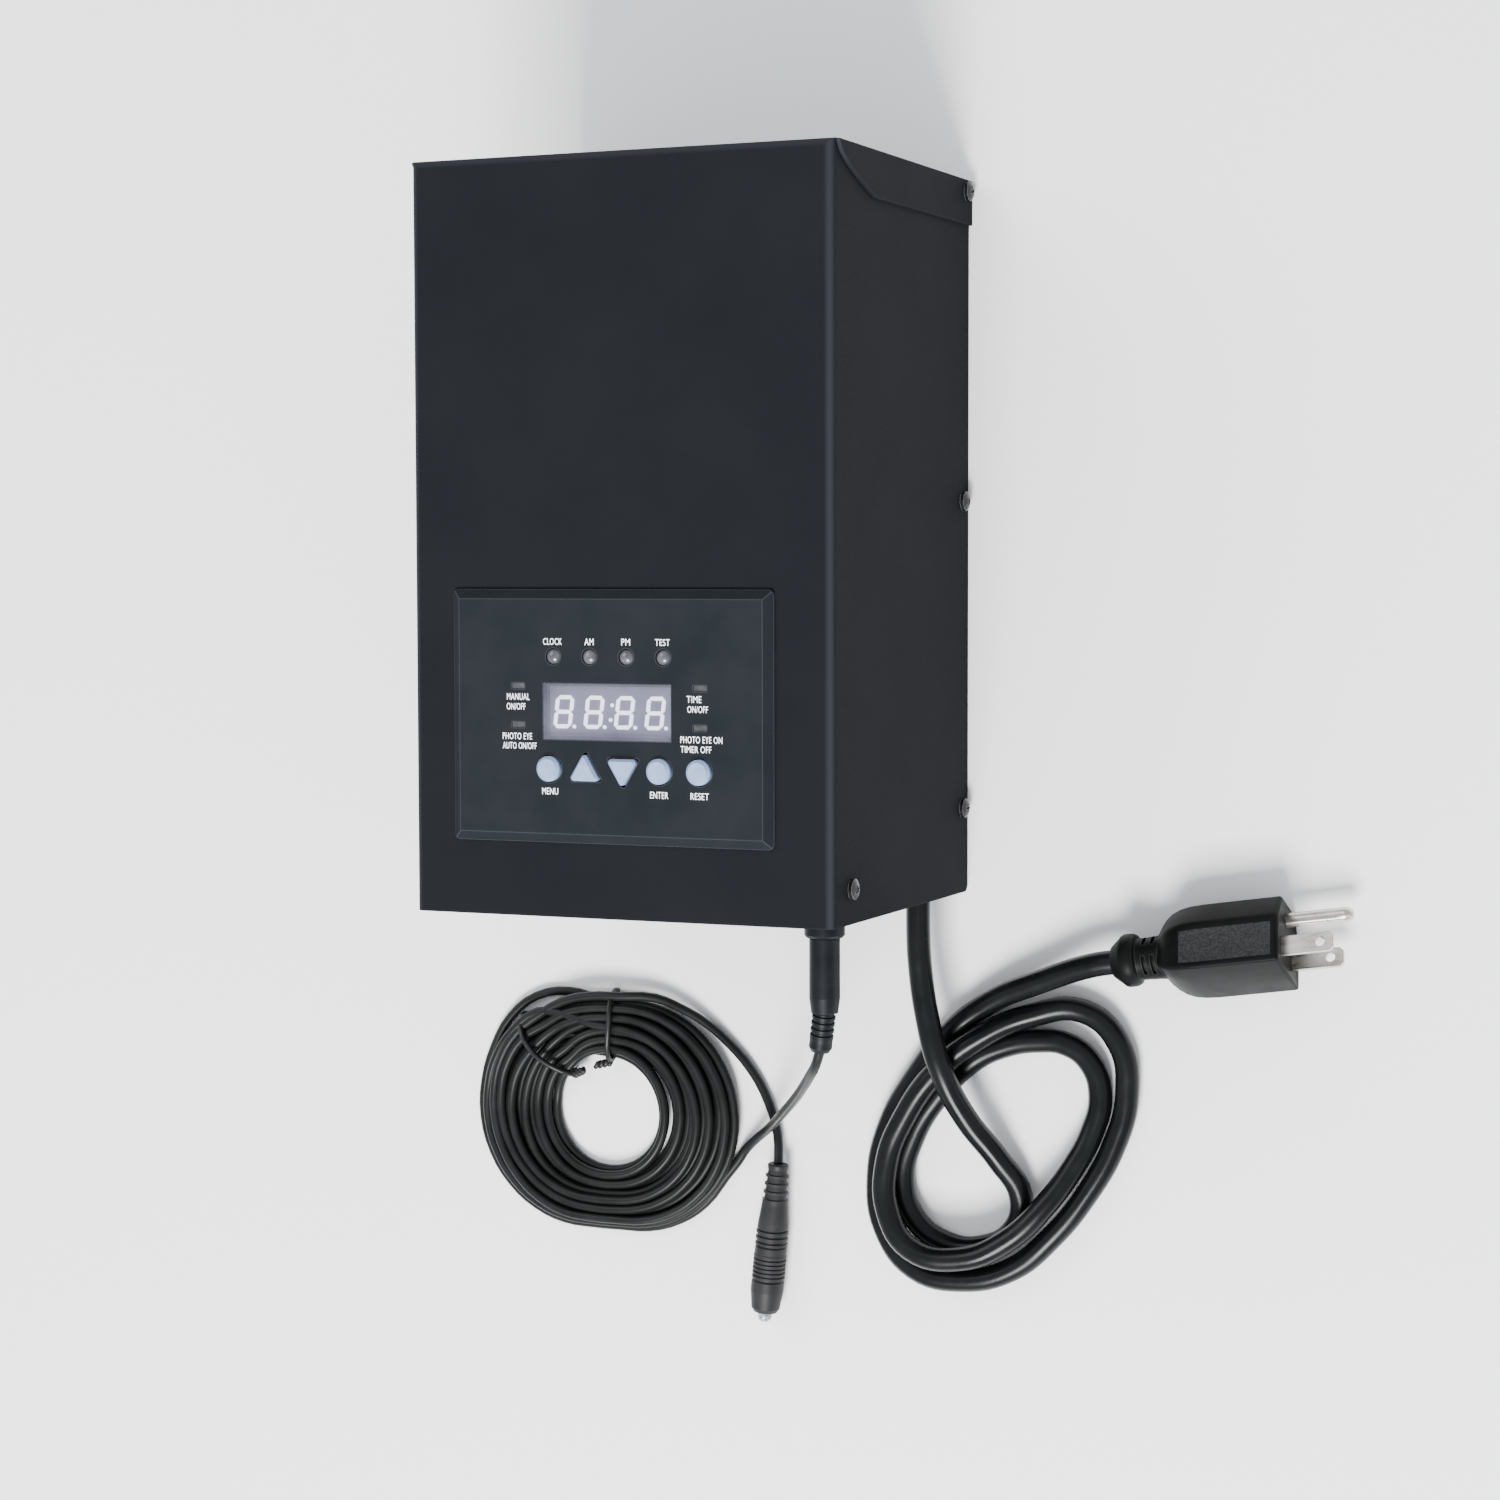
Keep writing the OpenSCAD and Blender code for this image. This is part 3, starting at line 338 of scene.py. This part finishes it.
mainsCable = {
    "diameter": 8.2,
    "length": 0.82,
    "route": [
        (62, -121, 20), (62, -131, 20), (62.5, -142, 20), (65, -161, 19.5),
        (70, -179, 19.4), (77, -196, 13.5), (86.5, -210, 8), (93.5, -222.5, 4.7),
        (91, -234.5, 4.2), (79.5, -241.5, 4.2), (66, -241, 4.2), (55, -233.5, 4.2),
        (50.8, -220.5, 4.2), (54.7, -204.8, 4.2), (63.6, -190.4, 4.2), (75.5, -178, 4.2),
        (87.5, -171.8, 4.2), (99, -169.4, 4.2), (109.5, -170, 4.2), (117.8, -175.8, 4.2),
        (121.3, -187, 4.3), (118.5, -199.5, 5.2), (113.5, -210, 7.6), (104.5, -223.5, 11.4),
        (91.5, -236.5, 13.6), (75, -244, 14.4), (57.5, -242, 14.8), (48.5, -230.5, 13),
        (47.5, -213.5, 11.6), (54.3, -196.5, 11.4), (65.3, -181, 11.2), (81, -168.2, 9.8),
        (97.5, -160.6, 6.6), (115, -158.4, 4.4), (127.5, -168.5, 4.2), (130.5, -185.5, 4.2),
        (126, -203.5, 4.4), (117, -220, 5.4), (105, -235.5, 6.2), (90.5, -248, 6.2),
        (73, -253, 6.4), (56, -250.5, 6.4), (44.5, -237.5, 5.4), (41.6, -220, 4.4),
        (45.8, -201.5, 4.2), (55.3, -184.6, 4.2), (67.6, -168.8, 5), (83.8, -156.4, 7),
        (102.5, -148.2, 10.4), (121, -141.6, 13.6), (131.8, -139.6, 14)],
    "plugTurnDeg": 8.5,
    "plugRollDeg": -120,
}
mainsCord = makeCord("mainsCord", mainsCable["route"], mainsCable["diameter"] * mm, 6, 6, cableSheath)
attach(mainsCord, "box")
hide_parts("mains_lead")

sensorCable = {
    "diameter": 3.3,
    "length": 3.69,
    "lead": [
        (59.1, -161.2, 101.1), (56.9, -165.9, 99), (52.1, -171, 92.5), (47, -175.2, 84),
        (40.7, -179.9, 73), (33.2, -185.1, 60), (24.9, -190.6, 46), (16.4, -196.1, 31.5),
        (8.9, -200.9, 19), (2.2, -205.6, 10.4), (-4.4, -210.4, 5.0), (-9.0, -214.6, 2.7), (-12.2, -219, 1.9)],
    "tail": [
        (-42.5, -162.3, 5.3), (-33, -165.6, 4.5), (-24.2, -170.4, 3.2), (-16, -177, 2.2), (-7, -186.5, 1.8),
        (-0.6, -197.5, 1.8), (3.2, -208.5, 2.7), (4.8, -218, 5.8)],
    "coilMid": (-62.5, -204.5),
    "coilRadius": 43.0,
    "coilShift": 9.9,
    "hole": 19.5,
    # place of each turn across the coil, counted in spacings from the hole, and its layer
    "turns": [(6, 0), (5, 0), (4, 0), (3, 0), (2, 0), (1, 0), (0, 0),
              (0.5, 1), (1.5, 1), (2.5, 1), (3.5, 1), (4.5, 1), (5.5, 1),
              (3, 2), (4, 2), (5, 2), (6.3, 2)],
    "places": 6,
    "startDeg": -24.0,
    "changeDeg": (134.0, 88.0),
    "climbDeg": 45.0,
    "endDeg": 82.0,
    "stepDeg": 15.0,
    # how far the turns stray sideways: in the lowest layer, and more for each layer above it
    "wander": (0.16, 0.26),
    "overhang": 0.3,
    "offFloor": 0.05,
    # the first strand stands off the others between these angles turned, eased over the two widths
    "loose": {"by": 3.4, "until": 330, "rise": (168, 42), "fall": (262, 40)},
}


# distance from the coil's middle to its outer outline, in a direction
def coilOutline(setup, angle):
    across, up = math.cos(angle), math.sin(angle)
    radius, shift = setup["coilRadius"], setup["coilShift"]
    if abs(across) * radius <= shift * abs(up):
        return radius / abs(up)
    return shift * abs(across) + math.sqrt(radius * radius - (shift * up) ** 2)


# the turns of the coil, one after another, clockwise from above
def coilPoints(setup):
    half = setup["diameter"] / 2
    turns = setup["turns"]
    loose = setup["loose"]
    changeStart, changeEnd = setup["changeDeg"]
    total = 360.0 * (len(turns) - 1) + setup["startDeg"] - setup["endDeg"]
    steps = int(round(total / setup["stepDeg"]))
    points = []
    for step in range(steps + 1):
        turned = total * step / steps
        heading = setup["startDeg"] - turned
        angle = math.radians(heading)
        # which turn this is: the strand climbs just before the ties and moves across under them
        past = (changeStart - 360.0 - heading) / 360.0
        number = int(math.floor(past))
        into = (past - number) * 360.0
        here, onward, later = (turns[min(max(number + n, 0), len(turns) - 1)] for n in (0, 1, 2))
        moved = into / (changeStart - changeEnd)
        place = here[0] + (onward[0] - here[0]) * ease(moved)
        climb = ease((into - 360.0 + setup["climbDeg"]) / setup["climbDeg"])
        layer = onward[1] + (later[1] - onward[1]) * climb
        inner = setup["hole"] + half
        outer = coilOutline(setup, angle) - half
        spacing = (outer - inner) / setup["places"]
        slack = max(0.0, 1 - setup["diameter"] / spacing)
        wander = math.sin(angle + 1.9 * number) + 0.6 * math.sin(2 * angle + 0.7 * number)
        place += wander * slack * (setup["wander"][0] + setup["wander"][1] * layer)
        place = min(place, setup["places"] + setup["overhang"] * min(layer, 1.0))
        nest = math.sqrt(max(setup["diameter"] ** 2 - (spacing / 2) ** 2, 0))
        crossing = math.sin(math.pi * min(moved, 1.0)) + climb
        lift = (setup["diameter"] - nest) * crossing * min(layer, 1.0)
        radius = inner + spacing * place
        if turned < loose["until"]:
            risen = ease((turned - loose["rise"][0]) / loose["rise"][1])
            radius += loose["by"] * risen * ease((loose["fall"][0] - turned) / loose["fall"][1])
        x = setup["coilMid"][0] + radius * math.cos(angle)
        y = setup["coilMid"][1] + radius * math.sin(angle)
        points.append((x, y, half + setup["offFloor"] + nest * layer + lift))
    return points


sensorRoute = sensorCable["lead"] + coilPoints(sensorCable) + sensorCable["tail"]
sensorCord = makeCord("sensorCord", sensorRoute, sensorCable["diameter"] * mm, 3, 3, thinSheath)
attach(sensorCord, "box")
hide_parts("sensor_lead", "sensor_coil", "sensor_tail")
print("cords laid")


# mesh helpers
def meshPiece(name, bm, material, smoothAngle=None):
    bmesh.ops.recalc_face_normals(bm, faces=bm.faces)
    mesh = bpy.data.meshes.new(name)
    bm.to_mesh(mesh)
    bm.free()
    for finish in material if isinstance(material, list) else [material]:
        mesh.materials.append(finish)
    if smoothAngle is not None:
        mesh.shade_smooth()
        mesh.set_sharp_from_angle(angle=math.radians(smoothAngle))
    piece = bpy.data.objects.new(name, mesh)
    bpy.context.scene.collection.objects.link(piece)
    return piece


# pulls the open end of a tube on to a new ring of points
def nextRing(bm, edges, move):
    grown = bmesh.ops.extrude_edge_only(bm, edges=edges)["geom"]
    for vert in (g for g in grown if isinstance(g, bmesh.types.BMVert)):
        vert.co = move(vert.co)
    return [g for g in grown if isinstance(g, bmesh.types.BMEdge) and all(v in grown for v in g.verts)]


mainsPlug = {
    # the ringed neck: distance along the plug and radius
    "neck": [
        (-3, 5.2), (-1.4, 6.6), (0, 7.7), (0.7, 8.4), (1.6, 8.8), (3.2, 8.8), (4.5, 8.7), (5.4, 8.2),
        (6.0, 7.0), (6.8, 6.9), (8.1, 6.95), (9.6, 7.0), (11.2, 7.1), (12.7, 7.2), (14.4, 7.3), (17, 7.4)],
    # the slots: which rows of the neck, where in each quarter turn, margin in metres, depth
    "windowRows": (10, 12),
    "windowDeg": (14, 76),
    "windowMargin": 0.00015,
    "windowDepth": 1.5,
    "corners": [(-13, -11), (13, -11), (13, 5), (7.8, 14), (-7.8, 14), (-13, 5)],
    # how much of the full outline each place along the plug has
    "body": [(13.8, 0.52), (15.0, 0.64), (16.6, 0.76), (18.8, 0.87), (21.6, 0.945), (25.0, 0.985),
             (29.5, 1.0), (54.6, 1.0), (56.0, 1.0)],
    "edgeRound": 1.1,
    # the grained panel: where it starts, its least area, margin and depth in metres
    "grainFrom": 22.0,
    "grainLeastArea": 0.00002,
    "grainInset": (0.0011, -0.0003),
    # the face round the blades: where it and its edges are, margin and depth in metres
    "frontFrom": 0.0555,
    "rimFrom": 0.0559,
    "frontInset": (0.0016, -0.0005),
    "segments": 48,
}


def atPlug(setup):
    place = Vector([value * mm for value in setup["route"][-1]])
    turn = Matrix.Rotation(math.radians(setup["plugTurnDeg"]), 4, "Z")
    lie = Matrix(((0, 0, 1, 0), (1, 0, 0, 0), (0, 1, 0, 0), (0, 0, 0, 1)))
    roll = Matrix.Rotation(math.radians(setup["plugRollDeg"]), 4, "Z")
    return Matrix.Translation(place) @ turn @ lie @ roll


def makeMainsPlug(setup, cable):
    bm = bmesh.new()
    count = setup["segments"]
    first = setup["neck"][0]
    bmesh.ops.create_circle(bm, cap_ends=True, radius=first[1] * mm, segments=count,
                            matrix=Matrix.Translation((0, 0, first[0] * mm)))
    edges = list(bm.edges)
    rows = []
    for along, radius in setup["neck"][1:]:
        def move(co, along=along, radius=radius):
            flat = Vector((co.x, co.y, 0)).normalized() * radius * mm
            return Vector((flat.x, flat.y, along * mm))
        known = set(bm.faces)
        edges = nextRing(bm, edges, move)
        rows.append([f for f in bm.faces if f not in known])
    bmesh.ops.holes_fill(bm, edges=edges)
    # slots cut round the neck, four to a row
    slots = []
    slotFrom, slotTo = setup["windowDeg"]
    for row in setup["windowRows"]:
        for face in rows[row]:
            middle = face.calc_center_median()
            turned = math.degrees(math.atan2(middle.y, middle.x)) % 90
            if slotFrom < turned < slotTo:
                slots.append(face)
    bmesh.ops.inset_region(bm, faces=slots, thickness=setup["windowMargin"], depth=0, use_even_offset=True)
    pushed = bmesh.ops.extrude_face_region(bm, geom=slots)["geom"]
    for vert in (g for g in pushed if isinstance(g, bmesh.types.BMVert)):
        flat = Vector((vert.co.x, vert.co.y, 0))
        vert.co -= flat.normalized() * setup["windowDepth"] * mm
    bmesh.ops.delete(bm, geom=slots, context="FACES_ONLY")
    neckPiece = bpy.data.meshes.new("neckPart")
    bmesh.ops.recalc_face_normals(bm, faces=bm.faces)
    bm.to_mesh(neckPiece)
    bm.free()

    bm = bmesh.new()
    bmesh.ops.create_circle(bm, cap_ends=True, radius=0.01, segments=6)
    bm.verts.ensure_lookup_table()
    for vert, corner in zip(bm.verts, setup["corners"]):
        vert.co = Vector((corner[0] * setup["body"][0][1] * mm, corner[1] * setup["body"][0][1] * mm,
                          setup["body"][0][0] * mm))
    edges = list(bm.edges)
    last = setup["body"][0][1]
    for along, share in setup["body"][1:]:
        def grow(co, along=along, ratio=share / last):
            return Vector((co.x * ratio, co.y * ratio, along * mm))
        edges = nextRing(bm, edges, grow)
        last = share
    bmesh.ops.holes_fill(bm, edges=edges)
    bmesh.ops.recalc_face_normals(bm, faces=bm.faces)
    length = [e for e in bm.edges if abs(e.verts[0].co.z - e.verts[1].co.z) > 0.0004]
    rim = [e for e in bm.edges if min(v.co.z for v in e.verts) > setup["rimFrom"]]
    bmesh.ops.bevel(bm, geom=length + rim, offset=setup["edgeRound"] * mm, offset_type="OFFSET", segments=3,
                    profile=0.5, affect="EDGES", material=-1, clamp_overlap=True)
    # a grained panel let into the broad side that faces up
    bm.normal_update()
    panel = [f for f in bm.faces if f.normal.x < -0.97 and f.calc_center_median().z > setup["grainFrom"] * mm
             and f.calc_area() > setup["grainLeastArea"]]
    margin, depth = setup["grainInset"]
    bmesh.ops.inset_region(bm, faces=panel, thickness=margin, depth=depth, use_even_offset=True)
    for face in panel:
        face.material_index = 1
    # the face that the blades stand in is a little lower than its rim
    front = [f for f in bm.faces if f.normal.z > 0.99 and f.calc_center_median().z > setup["frontFrom"]]
    margin, depth = setup["frontInset"]
    bmesh.ops.inset_region(bm, faces=front, thickness=margin, depth=depth, use_even_offset=True)
    bm.from_mesh(neckPiece)
    bpy.data.meshes.remove(neckPiece)
    bmesh.ops.transform(bm, matrix=atPlug(cable), verts=bm.verts)
    return meshPiece("mainsPlugBody", bm, [plugMoulding, plugGrain], 32)


mainsPlugBody = makeMainsPlug(mainsPlug, mainsCable)
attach(mainsPlugBody, "box")
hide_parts("mains_plug")

coilTies = {
    "wire": 1.9,
    # angle round the coil, radius at the hole and outside, sideways lean, reach of the twisted ends
    "bands": [{"deg": 86.0, "inner": 19.0, "outer": 44.0, "lean": -1.5, "twist": 5.0},
              {"deg": 135.0, "inner": 19.0, "outer": 47.4, "lean": 4.0, "twist": -4.5}],
    # share of the way across the turns, height and share of the lean, along a tie
    "arch": [(0.03, 1.1, 0), (-0.01, 3.6, 0.1), (0.03, 6.3, 0.25), (0.14, 8.6, 0.5), (0.36, 10.4, 0.9),
             (0.60, 10.6, 1.0), (0.80, 9.8, 0.7), (0.93, 6.9, 0.4), (1.0, 3.6, 0.15), (0.99, 1.1, 0)],
    # the twisted ends: knots, turn between two, radius of the twist, thickness against the tie's
    "twistKnots": 9,
    "twistTurn": 1.15,
    "twistRadius": 0.75,
    "twistThin": 0.9,
    "twistSteps": 4,
}


# a round wire along points given in millimetres, turned into a closed mesh
def wireMesh(bm, points, diameter, steps=5, sides=3):
    curve = makeCord("spareWire", points, diameter * mm, steps, sides, tieSheath)
    evaluated = curve.evaluated_get(bpy.context.evaluated_depsgraph_get())
    mesh = bpy.data.meshes.new_from_object(evaluated)
    bm.from_mesh(mesh)
    data = curve.data
    bpy.data.objects.remove(curve)
    bpy.data.curves.remove(data)
    bpy.data.meshes.remove(mesh)


def makeTies(setup, cable):
    bm = bmesh.new()
    middle = Vector((*cable["coilMid"], 0))
    for band in setup["bands"]:
        angle = math.radians(band["deg"])
        out = Vector((math.cos(angle), math.sin(angle), 0))
        side = Vector((-out.y, out.x, 0))
        inner, width = band["inner"], band["outer"] - band["inner"]

        def spot(radius, height, across):
            return tuple(middle + out * radius + side * across + Vector((0, 0, height)))

        over = [spot(inner + share * width, height, band["lean"] * aside)
                for share, height, aside in setup["arch"]]
        wireMesh(bm, over, setup["wire"])
        # the two ends twisted together inside the hole
        twist, knots, radius = band["twist"], setup["twistKnots"], setup["twistRadius"]
        for phase in (0, math.pi):
            ends = [spot(inner + 0.9, 3.0 if phase else 5.6, 0)]
            for step in range(knots):
                turn = phase + step * setup["twistTurn"]
                reach = step / (knots - 1)
                ends.append(spot(inner - 1.0 - 1.6 * reach + radius * math.cos(turn),
                                 4.6 + radius * math.sin(turn) + 0.8 * reach, twist * reach))
            wireMesh(bm, ends, setup["wire"] * setup["twistThin"], setup["twistSteps"])
    return meshPiece("twistTies", bm, tieSheath, 50)


twistTies = makeTies(coilTies, sensorCable)
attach(twistTies, "box")
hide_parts("coil_ties")
print("plug and ties made")

# words on the panel, each with its place from the panel's middle and its width
panelWords = {
    "mid": (-1.8, -56.2),
    "face": 127.0,
    "capHeight": 2.1,
    "offFace": 0.00003,
    "spacing": 1.06,
    "thickness": 0.012,
    "thicknessScale": 0.003,
    "curveSteps": 3,
    "words": [
        ("CLOCK", -19.2, 23.6, 6.6), ("AM", -6.4, 23.6, 3.2),
        ("PM", 6.3, 23.6, 3.0), ("TEST", 18.9, 23.6, 5.0),
        ("MANUAL", -31.4, 6.1, 8.0), ("ON/OFF", -32.2, 3.0, 6.6),
        ("PHOTO EYE", -31.8, -6.4, 10.4), ("AUTO ON/OFF", -31.0, -9.4, 12.0),
        ("TIME", 29.6, 6.1, 5.0), ("ON/OFF", 30.8, 3.0, 7.0),
        ("PHOTO EYE ON", 32.0, -6.4, 14.2), ("TIMER OFF", 30.2, -9.4, 10.4),
        ("MENU", -20.3, -23.6, 5.6), ("ENTER", 17.6, -23.9, 6.2), ("RESET", 31.4, -23.9, 6.2)],
}


def makeWords(setup):
    bm = bmesh.new()
    for text, x, y, width in setup["words"]:
        curve = bpy.data.curves.new("spareWord", "FONT")
        curve.body = text
        curve.align_x = "CENTER"
        curve.align_y = "CENTER"
        curve.size = 1.0
        curve.space_character = setup["spacing"]
        curve.extrude = setup["thickness"]
        curve.resolution_u = setup["curveSteps"]
        spare = bpy.data.objects.new("spareWord", curve)
        bpy.context.scene.collection.objects.link(spare)
        mesh = bpy.data.meshes.new_from_object(spare.evaluated_get(bpy.context.evaluated_depsgraph_get()))
        low = min(v.co.x for v in mesh.vertices)
        high = max(v.co.x for v in mesh.vertices)
        floor = min(v.co.y for v in mesh.vertices)
        roof = max(v.co.y for v in mesh.vertices)
        across, up = width * mm / (high - low), setup["capHeight"] * mm / (roof - floor)
        size = Matrix.Diagonal((across, up, setup["thicknessScale"], 1))
        centre = Matrix.Translation((-(low + high) / 2, -(floor + roof) / 2, 0))
        place = Matrix.Translation(((setup["mid"][0] + x) * mm, (setup["mid"][1] + y) * mm,
                                    setup["face"] * mm + setup["offFace"]))
        mesh.transform(place @ size @ centre)
        bm.from_mesh(mesh)
        bpy.data.objects.remove(spare)
        bpy.data.curves.remove(curve)
        bpy.data.meshes.remove(mesh)
    return meshPiece("panelWords", bm, printWithPaintedGlow)


wordsPiece = makeWords(panelWords)
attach(wordsPiece, "box")
print("panel words made")

# which finish each carried-over piece has
nodeFinish = {
    "front_cover": powderCoat, "back_chassis": chassisCoat, "cover_screws": blackScrew,
    "panel_bezel": bezelMoulding, "panel_clamp": clampMoulding, "clamp_screws": zincSteel,
    "display_window": filterLens, "display_module": displayCase, "display_figures": figurePaintedGlow,
    "status_lamps": lampDome, "mode_lamps": barLens, "menu_button": keyMoulding, "up_button": keyMoulding,
    "down_button": keyMoulding, "enter_button": keyMoulding, "reset_button": keyMoulding,
    "control_board": boardMask, "tact_switches": switchCase, "control_screws": zincSteel,
    "power_board": boardMask, "power_posts": zincSteel, "power_screws": zincSteel, "relay": relayCase,
    "fuse": fuseGlass, "fuse_clips": clipBrass, "filter_capacitor": switchCase,
    "terminal_block": terminalCase, "transformer_pad": bushRubber, "transformer": windingTape,
    "transformer_plate": zincSteel, "transformer_stud": zincSteel, "transformer_nut": zincSteel,
    "earth_stud": zincSteel, "earth_lug": zincSteel, "outlet_bush": bushRubber, "sensor_jack": jackMoulding,
    "jack_nut": brightNickel, "mains_bush": bushRubber, "live_wire": switchCase, "neutral_wire": whiteWire,
    "earth_wire": greenWire, "ribbon_cable": ribbonSheath, "plug_blades": brightNickel,
    "plug_earth_pin": brightNickel, "sensor_plug": jackMoulding, "sensor_body": sensorMoulding,
    "sensor_lens": clearDome,
}


def paintNodes(finishes):
    for name, finish in finishes.items():
        piece = nodes[name]
        if not piece.material_slots:
            piece.data.materials.append(finish)
        for holder in piece.material_slots:
            holder.link = "OBJECT"
            holder.material = finish


paintNodes(nodeFinish)
print("carried-over pieces finished")

studio = {
    "floorSize": 6.0,
    "floorDrop": 0.0004,
    "world": (0.93, 0.95, 1.0),
    "worldStrength": 1.1,
    "lights": [
        {"name": "keyLight", "place": (0.25, -1.55, 1.85), "aim": (0.02, -0.05, 0.05), "size": 0.9,
         "power": 140},
        {"name": "fillLight", "place": (-1.2, 0.9, 1.5), "aim": (0, -0.05, 0.05), "size": 1.3,
         "power": 22},
    ],
}


def makeStudio(setup):
    bm = bmesh.new()
    bmesh.ops.create_grid(bm, x_segments=4, y_segments=4, size=setup["floorSize"] / 2)
    floor = meshPiece("studioFloor", bm, newFinish("paleFloor", (0.95, 0.95, 0.95), 0.9))
    floor.location.z = -setup["floorDrop"]
    world = bpy.data.worlds.new("studioWorld")
    world.use_nodes = True
    back = world.node_tree.nodes["Background"]
    back.inputs["Color"].default_value = (*setup["world"], 1)
    back.inputs["Strength"].default_value = setup["worldStrength"]
    bpy.context.scene.world = world
    for light in setup["lights"]:
        data = bpy.data.lights.new(light["name"], "AREA")
        data.energy = light["power"]
        data.size = light["size"]
        lamp = bpy.data.objects.new(light["name"], data)
        lamp.location = light["place"]
        look = Vector(light["aim"]) - Vector(light["place"])
        lamp.rotation_euler = look.to_track_quat("-Z", "Y").to_euler()
        bpy.context.scene.collection.objects.link(lamp)


makeStudio(studio)
print("studio lit")
